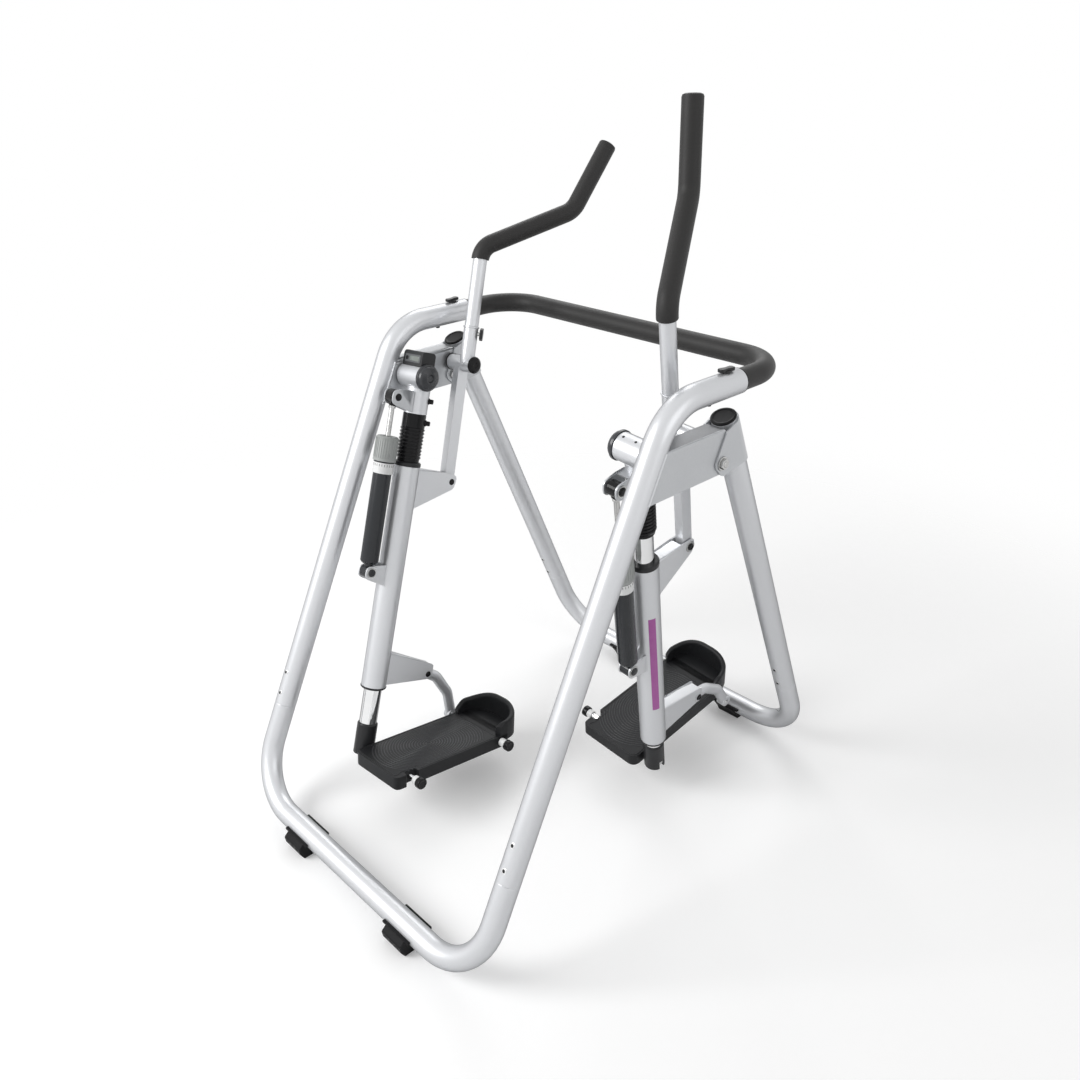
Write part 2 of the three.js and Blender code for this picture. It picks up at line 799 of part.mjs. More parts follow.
// Pieces that swing with the leg. y is measured from the hip axle, z down the leg is negative
function hipSleeveBody() {
  const body = fuse(
    rodAlongX(sleeve.radius, -sleeve.inner, sleeve.outer),
    rodAlongZ(stub.radius, -stub.bottom, 0, 0, legOffset),
  );
  const rear = legOffset - damper.run;
  const top = damper.topDrop - ear.rise;
  const base = legOffset - stub.radius + chrome.wall;
  const rows = [
    [base, -ear.foot],
    [base, -top],
    [rear - ear.endRadius, -top, ear.endRadius],
    [rear - ear.endRadius, -damper.topDrop - ear.endRadius, ear.endRadius],
  ];
  const roof = [
    [base, -top - ear.plate],
    [base, -top],
    [legOffset - ear.webEnd, -top],
    [legOffset - ear.webEnd, -top - ear.plate],
  ];
  const ears = channel(rows, roof, ear.halfWidth, ear.plate);
  const pinHole = damperPinHole(-damper.topDrop);
  const axleRadius = clear(hip.axleRadius, sides.round);
  const axleBore = rodAlongX(axleRadius, -sleeve.inner - overrun, sleeve.outer + overrun);
  const boreRadius = clear(chrome.radius, sides.round);
  const tubeBore = rodAlongZ(boreRadius, -stub.bottom - overrun, fit - chrome.top, 0, legOffset);
  return cut(fuse(body, ears), pinHole, axleBore, tubeBore);
}

function hipCapBody() {
  const face = -sleeve.inner - fit;
  const profile = [
    [0, face + hipCap.plug],
    [hip.axleRadius, face + hipCap.plug],
    [hip.axleRadius, face],
    [hipCap.radius, face],
    [hipCap.radius, face - hipCap.skirt],
    ...domeRows(hipCap.radius, face - hipCap.skirt, -hipCap.dome),
  ];
  return turnedAlongX(profile.reverse());
}

// The rows of a flat dome from its rim to its pole
function domeRows(radius, from, rise) {
  return Array.from({ length: domeRings }, (_, i) => {
    const angle = (Math.PI / 2) * ((i + 1) / domeRings);
    return [i + 1 === domeRings ? 0 : radius * Math.cos(angle), from + rise * Math.sin(angle)];
  });
}

function counterBody() {
  const rows = [
    [-counter.halfDepth, 0],
    [counter.halfDepth, 0],
    [counter.halfDepth, sleeve.radius + counter.height, counter.crownRadius],
    [-counter.halfDepth, sleeve.radius + counter.height, counter.crownRadius],
  ];
  const seatRadius = clear(sleeve.radius, sides.round);
  const seat = rodAlongX(seatRadius, -counter.inner - overrun, counter.outer + overrun);
  return cut(plateAcross(rows, fit - sleeve.inner, counter.outer), seat);
}

function innerTubeBody() {
  const end = forkTop + fork.socketDepth - fit;
  return tube(
    [corner(0, legOffset, -end), corner(0, legOffset, -chrome.top)],
    chrome.radius,
    chrome.radius - chrome.wall,
  );
}

// A rubber sleeve with a wider lower part, resting on the stub and met by the upper bush
function bumperBody(restSlide) {
  const top = stub.bottom + fit;
  const step = top + bumper.plain;
  const bottom = outerTube.top + restSlide - topBush.flange - 2 * fit;
  const bore = clear(chrome.radius, sides.tube);
  const rows = [
    [bore, -bottom],
    [bumper.collarRadius, -bottom],
    [bumper.collarRadius, -step],
    [bumper.radius, -step],
    [bumper.radius, -top],
    [bore, -top],
  ];
  return turnedAlongZ(rows, 0, legOffset, sides.tube);
}

function damperPin(drop) {
  const face = ear.halfWidth + fit;
  const profile = [
    [0, -face - damper.cap],
    [damper.capRadius, -face - damper.cap],
    [damper.capRadius, -face],
    [damper.pinRadius, -face],
    [damper.pinRadius, face],
    [damper.capRadius, face],
    [damper.capRadius, face + damper.cap],
    [0, face + damper.cap],
  ];
  return turnedAlongX(profile, legOffset - damper.run, -drop, sides.pin);
}

function damperEye(drop) {
  const half = damper.eyeHalfWidth;
  return rodAlongX(damper.eyeRadius, -half, half, legOffset - damper.run, -drop);
}

function damperRodBody() {
  const y = legOffset - damper.run;
  const end = damper.pistonDrop + damper.pistonLength;
  const bore = damper.cylinderRadius - damper.wall;
  const neckEnd = damper.topDrop + damper.eyeRadius + damper.cap;
  return fuse(
    damperEye(damper.topDrop),
    damperPin(damper.topDrop),
    rodAlongZ(damper.neckRadius, -neckEnd, -damper.topDrop, 0, y, sides.pin),
    rodAlongZ(damper.rodRadius, -end, -damper.topDrop, 0, y, sides.tube),
    rodAlongZ(bore - fit, -end, -damper.pistonDrop, 0, y, sides.tube),
  );
}

function damperCylinderBody() {
  const y = legOffset - damper.run;
  const bore = damper.cylinderRadius - damper.wall;
  const barrel = turnedAlongZ(
    [
      [0, -damper.cylinderBottom],
      [damper.cylinderRadius, -damper.cylinderBottom],
      [damper.cylinderRadius, -damper.collarBottom],
      [damper.collarRadius, -damper.collarBottom],
      [damper.collarRadius, -damper.collarTop],
      [clear(damper.rodRadius, sides.tube), -damper.collarTop],
      [clear(damper.rodRadius, sides.tube), -damper.collarTop - damper.head],
      [clear(bore - fit, sides.tube), -damper.collarTop - damper.head],
      [clear(bore - fit, sides.tube), damper.head - damper.cylinderBottom],
      [0, damper.head - damper.cylinderBottom],
    ],
    0,
    y,
    sides.tube,
  );
  const neck = rodAlongZ(damper.neckRadius, -damper.bottomDrop, fit - damper.cylinderBottom, 0, y, sides.pin);
  return fuse(barrel, neck, damperEye(damper.bottomDrop), damperPin(damper.bottomDrop));
}

// A knurled dial: every second point of its rim is drawn in
function dialBody() {
  const count = 2 * dial.ribs;
  const rim = Array.from({ length: count }, (_, i) => {
    const angle = (2 * Math.PI * i) / count;
    const radius = dial.radius * (i % 2 === 0 ? 1 : dial.ribShare);
    return new THREE.Vector2(radius * Math.cos(angle), radius * Math.sin(angle));
  });
  const shape = new THREE.Shape(rim);
  shape.holes.push(new THREE.Path(circlePoints(clear(damper.rodRadius, sides.pin), sides.pin)));
  const depth = damper.collarTop - fit - dial.top;
  const geometry = new THREE.ExtrudeGeometry(shape, { depth, bevelEnabled: false });
  return solid(geometry.translate(0, legOffset - damper.run, fit - damper.collarTop));
}

// Pieces that slide along the leg
function linkPlates(rows, roof, sheet) {
  return channel(rows, roof, sheet.halfWidth, sheet.plate);
}

function upperBracketBody() {
  const { pinRun, pinDrop, endRadius, top, foot: low, webEnd, plate } = upperBracket;
  const base = legOffset + outerTube.radius - 2 * outerTube.wall;
  const nose = legOffset + pinRun + endRadius;
  const noseTop = endRadius - pinDrop;
  const rows = [
    [base, -low],
    [nose - endRadius / 2, -pinDrop - endRadius, endRadius],
    [nose, noseTop, endRadius],
    [base, -top],
  ];
  const fall = (run) => -top + ((noseTop + top) * (run - base)) / (nose - base);
  const web = legOffset + webEnd;
  const roof = [
    [base, -top - plate],
    [web, fall(web) - plate],
    [web, fall(web)],
    [base, -top],
  ];
  return linkPlates(rows, roof, upperBracket);
}

function lowerBracketBody() {
  const { tipRun, pinRun, endRadius, toeRadius, plate } = lowerBracket;
  const top = outerBottom - lowerBracket.topRise;
  const low = outerBottom - lowerBracket.footRise;
  const tipDrop = outerBottom - lowerBracket.tipRise;
  const base = legOffset + outerTube.radius - 2 * outerTube.wall;
  const tip = legOffset + tipRun;
  const rows = [
    [base, -low],
    [legOffset + pinRun, -armPinDrop - endRadius, endRadius / 2],
    [legOffset + pinRun + endRadius, -armPinDrop, endRadius / 2],
    [tip, -tipDrop, toeRadius],
    [base, -top],
  ];
  const roof = [
    [base, -top - plate],
    [tip - toeRadius, -tipDrop - plate],
    [tip - toeRadius, toeRadius / 2 - tipDrop],
    [base, -top],
  ];
  return linkPlates(rows, roof, lowerBracket);
}

function damperLugBody() {
  const rear = legOffset - damper.run;
  const base = legOffset - outerTube.radius + 2 * outerTube.wall;
  const rows = [
    [base, -lugOutline.foot],
    [base, -lugOutline.top],
    [rear - lugOutline.endRadius, lugOutline.endRadius - damper.bottomDrop, lugOutline.endRadius],
    [rear - lugOutline.endRadius, -damper.bottomDrop - lugOutline.endRadius, lugOutline.endRadius],
  ];
  const plates = [-1, 1].map((side) => {
    const faces = [side * ear.halfWidth, side * (ear.halfWidth - ear.plate)].sort((a, b) => a - b);
    return plateAcross(rows, faces[0], faces[1]);
  });
  return cut(fuse(...plates), damperPinHole(-damper.bottomDrop));
}

function outerTubeBody() {
  const ends = [corner(0, legOffset, -outerBottom), corner(0, legOffset, -outerTube.top)];
  const core = tube(ends, outerTube.radius - outerTube.wall / 2);
  const linkHole = rodAlongX(
    clear(linkBolt.radius, sides.pin),
    -overrun,
    overrun,
    legOffset + upperBracket.pinRun,
    -upperBracket.pinDrop,
    sides.pin,
  );
  const armHole = rodAlongX(
    clear(arm.pinRadius, sides.pin),
    -overrun,
    overrun,
    legOffset + lowerBracket.pinRun,
    -armPinDrop,
    sides.pin,
  );
  const brackets = cut(fuse(upperBracketBody(), lowerBracketBody()), linkHole, armHole);
  return fuse(
    tube(ends, outerTube.radius, outerTube.radius - outerTube.wall),
    cut(brackets, core),
    cut(damperLugBody(), core),
  );
}

// A flanged bush: its spigot fits the outer tube and its bore runs on the chromed tube
function bushBody(bush, face, away) {
  const bore = clear(chrome.radius, sides.tube);
  const spigotRadius = outerTube.radius - outerTube.wall - fit;
  const rows = [
    [bore, face + away * (bush.flange + fit)],
    [bush.radius, face + away * (bush.flange + fit)],
    [bush.radius, face + away * fit],
    [spigotRadius, face + away * fit],
    [spigotRadius, face - away * bush.spigot],
    [bore, face - away * bush.spigot],
  ];
  return turnedAlongZ(rows, 0, legOffset, sides.tube);
}

function linkBoltBody() {
  const face = upperBracket.halfWidth + fit;
  const profile = [
    [0, -face - linkBolt.head],
    [linkBolt.headRadius, -face - linkBolt.head],
    [linkBolt.headRadius, -face],
    [linkBolt.radius, -face],
    [linkBolt.radius, face],
    [linkBolt.headRadius, face],
    [linkBolt.headRadius, face + linkBolt.head],
    [0, face + linkBolt.head],
  ];
  return turnedAlongX(profile, legOffset + upperBracket.pinRun, -upperBracket.pinDrop, sides.pin);
}

// Lever pieces, from the lever's pivot, z up the handle
function leverBody() {
  const half = lever.barWidth / 2;
  const depth = lever.barDepth / 2;
  const rear = -lever.barSetback - depth;
  const bar = plateAcross(
    [
      [rear, 0],
      [rear, -lever.length - depth, depth - fit],
      [rear + lever.barDepth, -lever.length - depth, depth - fit],
      [rear + lever.barDepth, 0],
    ],
    -half,
    half,
  );
  const rimRadius = socket.radius + socket.rimStep;
  const pinHoleRadius = clear(linkBolt.radius + lever.pinClearance - fit, sides.pin);
  const holder = fuse(
    rodAlongZ(socket.radius, 0, socket.top, -socket.offset, -socket.setback),
    rodAlongZ(rimRadius, socket.top - socket.rim, socket.top, -socket.offset, -socket.setback),
  );
  const knobHole = atHandle(
    rodAlongX(clear(leverKnob.stemRadius, sides.pin), -socket.radius - overrun, 0, 0, 0, sides.pin),
  );
  return cut(
    fuse(rodAlongX(lever.hubRadius, -lever.hubInner, lever.hubOuter), bar, holder),
    rodAlongX(clear(lever.axleRadius, sides.round), -lever.hubInner - overrun, lever.hubOuter + overrun),
    rodAlongZ(
      clear(handle.spigot, sides.handle),
      socket.bottom,
      socket.top + overrun,
      -socket.offset,
      -socket.setback,
    ),
    rodAlongX(pinHoleRadius, -overrun, overrun, 0, -lever.length, sides.pin),
    knobHole,
  );
}

function leverCapBody() {
  const face = -lever.hubInner - fit;
  const profile = [
    [0, face + leverCap.plug],
    [lever.axleRadius, face + leverCap.plug],
    [lever.axleRadius, face],
    [leverCap.radius, face],
    [leverCap.radius, face - leverCap.skirt],
    ...domeRows(leverCap.radius, face - leverCap.skirt, -leverCap.dome),
  ];
  return turnedAlongX(profile.reverse(), 0, 0, sides.tube);
}

// The clamp knob points inwards and forwards from the handle's socket
function atHandle(body) {
  return moved(body.rotate([0, 0, -leverKnob.turn / degree]), -socket.offset, -socket.setback, leverKnob.z);
}

function leverKnobBody() {
  const face = -handle.spigot - fit;
  const out = -socket.radius - leverKnob.stem;
  const profile = [
    [0, out - leverKnob.thick],
    [leverKnob.radius, out - leverKnob.thick],
    [leverKnob.radius, out],
    [leverKnob.stemRadius, out],
    [leverKnob.stemRadius, face],
    [0, face],
  ];
  return atHandle(turnedAlongX(profile, 0, 0, sides.pin));
}

function gripPath(from, topGap) {
  const { shoulder, top } = grip;
  const knee = new THREE.Vector3(-shoulder.x, shoulder.y, shoulder.z);
  const end = new THREE.Vector3(-top.x, top.y, top.z);
  end.addScaledVector(end.clone().sub(knee).normalize(), -topGap);
  return [
    corner(-socket.offset, -socket.setback, from),
    corner(-socket.offset, -socket.setback, grip.elbow, grip.elbowBend),
    corner(knee.x, knee.y, knee.z, grip.shoulderBend),
    { at: end },
  ];
}

function handleTubeBody() {
  const bore = handle.spigot - handle.wall;
  const ends = [socket.bottom + fit, socket.top + 2 * fit];
  const inSocket = ends.map((z) => corner(-socket.offset, -socket.setback, z));
  const upper = tube(gripPath(socket.top + fit, handle.topGap + fit), handle.radius, bore, sides.handle);
  return fuse(tube(inSocket, handle.spigot, bore, sides.handle), upper);
}

function gripBody() {
  const outer = tube(gripPath(grip.bottom, 0), grip.radius, 0, sides.handle);
  const bore = tube(gripPath(socket.top, handle.topGap), clear(handle.radius, sides.handle), 0, sides.handle);
  return cut(outer, bore);
}

// Foot plate pieces
function rodWithKnob(radius, end, y = 0, z = 0) {
  const knobFace = rodKnob.centre - rodKnob.thick / 2;
  const profile = [
    [0, -knobFace - rodKnob.thick],
    [rodKnob.radius, -knobFace - rodKnob.thick],
    [rodKnob.radius, -knobFace],
    [radius, -knobFace],
    [radius, end],
    [0, end],
  ];
  return turnedAlongX(profile, y, z, sides.round);
}

function armBody() {
  const face = lowerBracket.halfWidth + fit;
  const eyeHalf = lowerBracket.halfWidth - lowerBracket.plate - fit;
  const pin = turnedAlongX(
    [
      [0, -face - linkBolt.head],
      [linkBolt.headRadius, -face - linkBolt.head],
      [linkBolt.headRadius, -face],
      [arm.pinRadius, -face],
      [arm.pinRadius, face],
      [linkBolt.headRadius, face],
      [linkBolt.headRadius, face + linkBolt.head],
      [0, face + linkBolt.head],
    ],
    0,
    0,
    sides.pin,
  );
  const bow = tube(
    [
      corner(0, 0, 0),
      corner(0, arm.bulgeHigh, -arm.bulgeHighDrop, arm.bend),
      corner(0, arm.bulgeLow, -arm.bulgeLowDrop, arm.bend),
      corner(0, 0, -arm.length),
    ],
    arm.radius,
    0,
    sides.pin,
  ).scale([arm.flatShare, 1, 1]);
  return fuse(
    pin,
    rodAlongX(arm.eyeRadius, -eyeHalf, eyeHalf, 0, 0, sides.tube),
    bow,
    rodWithKnob(rearRod.radius, arm.radius * arm.flatShare, 0, -arm.length),
  );
}

function forkBody() {
  const body = rodAlongZ(fork.radius, -forkBottom, -forkTop, 0, legOffset);
  const boreRadius = clear(chrome.radius, sides.round);
  const tubeSocket = rodAlongZ(boreRadius, -forkTop - fork.socketDepth, overrun - forkTop, 0, legOffset);
  const slotHalf = clear(rearRod.radius, sides.round);
  const slot = fuse(
    block(
      [-fork.radius - overrun, fork.radius + overrun],
      [legOffset - slotHalf, legOffset + slotHalf],
      [-forkBottom - overrun, -rearRod.drop],
    ),
    rodAlongX(slotHalf, -fork.radius - overrun, fork.radius + overrun, legOffset, -rearRod.drop),
  );
  return cut(body, tubeSocket, slot);
}

function pedalRows(inset) {
  const { outer, inner, rear, front, cornerRadius, toeRadius } = pedal;
  return [
    [-outer - inset, inset - rear, cornerRadius - inset],
    [-outer - inset, front - inset, toeRadius - inset],
    [inset - inner, front - inset, toeRadius - inset],
    [inset - inner, inset - rear, cornerRadius - inset],
  ].reverse();
}

function pedalBody() {
  const { outer, inner, front, toeStart, toeTop, toeSide, toeWall, top, bottom } = pedal;
  const middle = -(outer + inner) / 2;
  const half = (inner - outer) / 2;
  const drop = toeTop - toeSide;
  const archRadius = (half * half + drop * drop) / (2 * drop);
  const arch = solid(
    new THREE.CylinderGeometry(archRadius, archRadius, front + overrun, 2 * sides.round)
      .translate(middle, (front + overrun) / 2, toeTop - archRadius),
  );
  const hollow = plateUp(pedalRows(toeWall), -overrun, toeTop + overrun);
  const shell = cut(plateUp(pedalRows(0), 0, toeTop), hollow);
  const cup = shell.trimByPlane([0, 1, 0], toeStart).intersect(arch);
  const rearBore = rodAlongX(clear(rearRod.radius, sides.round), -inner - overrun, 0);
  const frontRadius = clear(rearRod.radius + pedal.frontClearance - fit, sides.round);
  const frontBore = rodAlongX(frontRadius, -inner - overrun, 0, frontRodRun);
  const lip = plateAcross(
    [
      [pedal.lipStart, -bottom - overrun],
      [front + overrun, -bottom - overrun],
      [front + overrun, -pedal.lipDrop],
      [pedal.lipStart + bottom, -pedal.lipDrop],
      [pedal.lipStart, -bottom],
    ],
    -inner - overrun,
    overrun,
  );
  const notch = plateUp(
    [
      [-inner - overrun, -pedal.notchHalf],
      [pedal.notchDepth - inner, -pedal.notchHalf, pedal.notchDepth / 2],
      [pedal.notchDepth - inner, pedal.notchHalf, pedal.notchDepth / 2],
      [-inner - overrun, pedal.notchHalf],
    ],
    -bottom - overrun,
    top + overrun,
  );
  return cut(fuse(plateUp(pedalRows(0), -bottom, top), cup), lip, rearBore, frontBore, notch);
}

// Assembly
function turnedGroup(parent, y, z, angle) {
  const group = new THREE.Group();
  group.position.set(0, y, z);
  group.rotation.x = angle;
  parent.add(group);
  return group;
}

function sideMechanism(side, sign) {
  const rest = solveLinkage(legAngles[side]);
  const group = new THREE.Group();
  group.position.set(sign * hipX, hip.y, hip.z);
  group.rotation.y = sign * hip.tilt;
  const add = (parent, name, body, material) => parent.add(piece(`${side}_${name}`, body, material, sign));

  const leg = turnedGroup(group, 0, 0, legAngles[side]);
  add(leg, 'hip_sleeve', hipSleeveBody(), silver);
  add(leg, 'hip_cap', hipCapBody(), blackPlastic);
  add(leg, 'inner_tube', innerTubeBody(), chromed);
  add(leg, 'bumper', bumperBody(solveLinkage(legAngles.left).slide), blackRubber);
  add(leg, 'damper_rod', damperRodBody(), chromed);
  add(leg, 'fork', forkBody(), blackPlastic);
  const rod = turnedGroup(leg, legOffset, -rearRod.drop, 0);
  add(rod, 'rear_rod', rodWithKnob(rearRod.radius, rearRod.end), chromed);
  if (side === 'left') leg.add(piece('step_counter', counterBody(), counterGrey, sign));

  const slider = turnedGroup(leg, 0, -rest.slide, 0);
  add(slider, 'outer_tube', outerTubeBody(), silver);
  add(slider, 'top_bush', bushBody(topBush, -outerTube.top, 1), blackPlastic);
  add(slider, 'bottom_bush', bushBody(bottomBush, -outerBottom, -1), blackPlastic);
  add(slider, 'damper_cylinder', damperCylinderBody(), blackPlastic);
  add(slider, 'damper_dial', dialBody(), dialGrey);
  add(slider, 'link_bolt', linkBoltBody(), blackPlastic);

  const handLever = turnedGroup(group, lever.pivotRun, lever.pivotRise, rest.leverAngle);
  add(handLever, 'lever', leverBody(), silver);
  add(handLever, 'lever_cap', leverCapBody(), blackPlastic);
  add(handLever, 'lever_knob', leverKnobBody(), blackPlastic);
  add(handLever, 'handle_tube', handleTubeBody(), silver);
  add(handLever, 'grip', gripBody(), foam);

  const plate = turnedGroup(group, rest.rod.x, rest.rod.y, rest.pedalAngle);
  add(plate, 'foot_plate', pedalBody(), blackPlastic);
  const controlArm = turnedGroup(group, rest.armPin.x, rest.armPin.y, rest.armAngle);
  add(controlArm, 'control_arm', armBody(), silver);
  return group;
}

function frameSide(side, sign) {
  const group = new THREE.Group();
  const add = (name, body, material) => group.add(piece(`${side}_${name}`, body, material, sign));
  add('side_frame', sideFrame(), silver);
  add('front_leg', frontLegBody(), silver);
  add('leg_cap', legCapBody(), blackPlastic);
  add('fold_bolt', foldBoltBody(), zinc);
  add('rail_knob', railKnobBody(), blackPlastic);
  add('rear_foot', footBody(1, 0), blackRubber);
  add('front_foot', footBody(-1, frame.length), blackRubber);
  return group;
}

const machine = new THREE.Group();
machine.position.set(0, -frame.length / 2, frame.axisHeight);
machine.add(piece('rear_floor_bar', floorBar(0, sideDirection, frame.rearBend), silver));
machine.add(piece('front_floor_bar', floorBar(frame.length, frontDirection, frame.frontBend), silver));
machine.add(piece('handrail_tube', handrailTubeBody(), silver));
machine.add(piece('handrail_foam', handrailFoamBody(), foam));
for (const [side, sign] of [['left', -1], ['right', 1]]) {
  machine.add(frameSide(side, sign), sideMechanism(side, sign));
}

const airWalker = new THREE.Group();
airWalker.name = 'air_walker';
airWalker.add(machine);

export default airWalker;
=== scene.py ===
import math

import bmesh
import bpy
from mathutils import Matrix, Vector


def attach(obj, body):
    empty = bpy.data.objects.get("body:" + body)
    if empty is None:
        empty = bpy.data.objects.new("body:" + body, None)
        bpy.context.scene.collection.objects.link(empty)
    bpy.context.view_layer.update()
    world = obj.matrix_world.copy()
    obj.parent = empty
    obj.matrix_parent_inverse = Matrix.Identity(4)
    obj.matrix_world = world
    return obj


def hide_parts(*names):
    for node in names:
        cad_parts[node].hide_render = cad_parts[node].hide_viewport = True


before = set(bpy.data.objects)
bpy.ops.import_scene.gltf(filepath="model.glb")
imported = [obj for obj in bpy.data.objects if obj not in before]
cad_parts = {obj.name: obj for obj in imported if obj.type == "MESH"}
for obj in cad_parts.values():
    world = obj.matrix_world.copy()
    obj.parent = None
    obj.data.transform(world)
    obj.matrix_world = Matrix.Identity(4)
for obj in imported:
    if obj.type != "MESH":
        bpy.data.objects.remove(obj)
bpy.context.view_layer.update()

degree = math.pi / 180
scene = bpy.context.scene
print("stage: frame loaded")

cameraView = {
    "place": (1.29293, -1.21163, 1.48793), "azimuth": 46.4776, "elevation": 26.851, "roll": -0.6901,
    "focalPixels": 994.09, "imageWidth": 1080, "sensor": 36.0, "farEnd": 50,
}


def addToScene(name, data):
    thing = bpy.data.objects.new(name, data)
    scene.collection.objects.link(thing)
    return thing


def addCamera(k):
    az, el, roll = (k[key] * degree for key in ("azimuth", "elevation", "roll"))
    ahead = Vector((-math.sin(az) * math.cos(el), math.cos(az) * math.cos(el), -math.sin(el)))
    level = Vector((math.cos(az), math.sin(az), 0))
    upright = level.cross(ahead)
    right = level * math.cos(roll) + upright * math.sin(roll)
    up = upright * math.cos(roll) - level * math.sin(roll)
    data = bpy.data.cameras.new("photoCamera")
    data.sensor_width = k["sensor"]
    data.lens = k["focalPixels"] / k["imageWidth"] * k["sensor"]
    data.clip_end = k["farEnd"]
    camera = addToScene("photoCamera", data)
    turn = Matrix((right, up, -ahead)).transposed().to_4x4()
    camera.matrix_world = Matrix.Translation(k["place"]) @ turn
    scene.camera = camera


addCamera(cameraView)
scene.view_settings.view_transform = "Standard"


def feed(tree, socket, value):
    if isinstance(value, bpy.types.NodeSocket):
        tree.links.new(value, socket)
    else:
        socket.default_value = value


# a node with its settings made and its sockets fed, by name or by number
def addNode(tree, kind, sockets=None, **settings):
    node = tree.nodes.new(kind)
    for key, value in settings.items():
        setattr(node, key, value)
    for key, value in (sockets or {}).items():
        feed(tree, node.inputs[key], value)
    return node.outputs


def mathNode(tree, operation, a, b=0.0, clamp=False):
    return addNode(tree, "ShaderNodeMath", {0: a, 1: b}, operation=operation, use_clamp=clamp)[0]


def combine(tree, x, y, z):
    return addNode(tree, "ShaderNodeCombineXYZ", {0: x, 1: y, 2: z})[0]


# inputs give a plain number as the default, or the kind of socket
def nodeGroup(name, kind, inputs, outputs):
    tree = bpy.data.node_groups.new(name, kind)
    for label, value in inputs.items():
        socketKind = {int: "NodeSocketInt", float: "NodeSocketFloat"}.get(type(value), value)
        socket = tree.interface.new_socket(name=label, in_out="INPUT", socket_type=socketKind)
        if socketKind != value:
            socket.default_value = value
    for label, socketKind in outputs.items():
        tree.interface.new_socket(name=label, in_out="OUTPUT", socket_type=socketKind)
    return tree, tree.nodes.new("NodeGroupInput").outputs, tree.nodes.new("NodeGroupOutput").inputs


# fine moulded or sprayed grain: a height for bump and a tone for colour
def makeGrainGroup():
    inputs = {"Place": "NodeSocketVector", "Scale": 900.0, "Coarse share": 0.35}
    outputs = {"Height": "NodeSocketFloat", "Tone": "NodeSocketFloat"}
    tree, given, result = nodeGroup("fineGrain", "ShaderNodeTree", inputs, outputs)
    coarseScale = mathNode(tree, "MULTIPLY", given["Scale"], 0.21)
    place = given["Place"]
    fine, coarse = (
        addNode(tree, "ShaderNodeTexNoise", {"Vector": place, "Scale": scale, "Detail": detail})["Fac"]
        for scale, detail in ((given["Scale"], 3), (coarseScale, 2))
    )
    share = mathNode(tree, "MULTIPLY", coarse, given["Coarse share"])
    fineShare = mathNode(tree, "SUBTRACT", 1.0, given["Coarse share"])
    feed(tree, result["Height"], mathNode(tree, "ADD", mathNode(tree, "MULTIPLY", fine, fineShare), share))
    feed(tree, result["Tone"], coarse)
    return tree


# slow uneven marks of handling: a mask for colour and gloss
def makeHandlingGroup():
    clearBelow, steepness = 0.42, 4.0
    inputs = {"Place": "NodeSocketVector", "Scale": 14.0, "Amount": 0.5}
    tree, given, result = nodeGroup("handling", "ShaderNodeTree", inputs, {"Mask": "NodeSocketFloat"})
    sockets = {"Vector": given["Place"], "Scale": given["Scale"], "Detail": 5, "Roughness": 0.62}
    lifted = mathNode(tree, "SUBTRACT", addNode(tree, "ShaderNodeTexNoise", sockets)["Fac"], clearBelow)
    steep = mathNode(tree, "MULTIPLY", lifted, steepness, clamp=True)
    feed(tree, result["Mask"], mathNode(tree, "MULTIPLY", steep, given["Amount"]))
    return tree


grainGroup = makeGrainGroup()
handlingGroup = makeHandlingGroup()


def makeFinish(name, k):
    material = bpy.data.materials.new(name)
    material.use_nodes = True
    tree = material.node_tree
    place = addNode(tree, "ShaderNodeTexCoord")["Object"]
    grainScale, grainDepth = k["grain"]
    sockets = {"Place": place, "Scale": grainScale, "Coarse share": k["coarse"]}
    grain = addNode(tree, "ShaderNodeGroup", sockets, node_tree=grainGroup)
    markScale, markAmount = k["handling"]
    sockets = {"Place": place, "Scale": markScale, "Amount": markAmount}
    mask = addNode(tree, "ShaderNodeGroup", sockets, node_tree=handlingGroup)["Mask"]
    # a colour mix has its factor at socket 0, its two colours at 6 and 7 and its result at output 2
    sockets = {0: grain["Tone"], 6: (*k["colour"], 1), 7: (*k["speck"], 1)}
    mottled = addNode(tree, "ShaderNodeMix", sockets, data_type="RGBA")[2]
    worn = addNode(tree, "ShaderNodeMix", {0: mask, 6: mottled, 7: (*k["worn"], 1)}, data_type="RGBA")[2]
    low, high = k["roughness"]
    sockets = {"Strength": 0.5, "Distance": grainDepth, "Height": grain["Height"]}
    values = {
        "Base Color": worn,
        "Metallic": k["metallic"],
        "Roughness": mathNode(tree, "ADD", mathNode(tree, "MULTIPLY", mask, high - low), low),
        "Normal": addNode(tree, "ShaderNodeBump", sockets)["Normal"],
        "Specular IOR Level": k["specular"],
        "Specular Tint": (*[k["edgeTint"]] * 3, 1),
        "Sheen Weight": k["sheen"],
        "Coat Weight": k["coat"],
        "Coat Roughness": k["coatRoughness"],
    }
    for label, value in values.items():
        feed(tree, tree.nodes["Principled BSDF"].inputs[label], value)
    material.diffuse_color = (*k["colour"], 1)
    return material


# grain is its scale and depth, handling the scale and amount of its marks
def look(slot, colour, speck, worn, roughness, grain, handling, **others):
    plain = {
        "metallic": 0.0, "specular": 0.5, "edgeTint": 1.0, "sheen": 0.0, "coat": 0.0, "coatRoughness": 0.2,
        "coarse": 0.35,
    }
    return {
        "slot": slot, "colour": colour, "speck": speck, "worn": worn, "roughness": roughness,
        "grain": grain, "handling": handling, **plain, **others,
    }


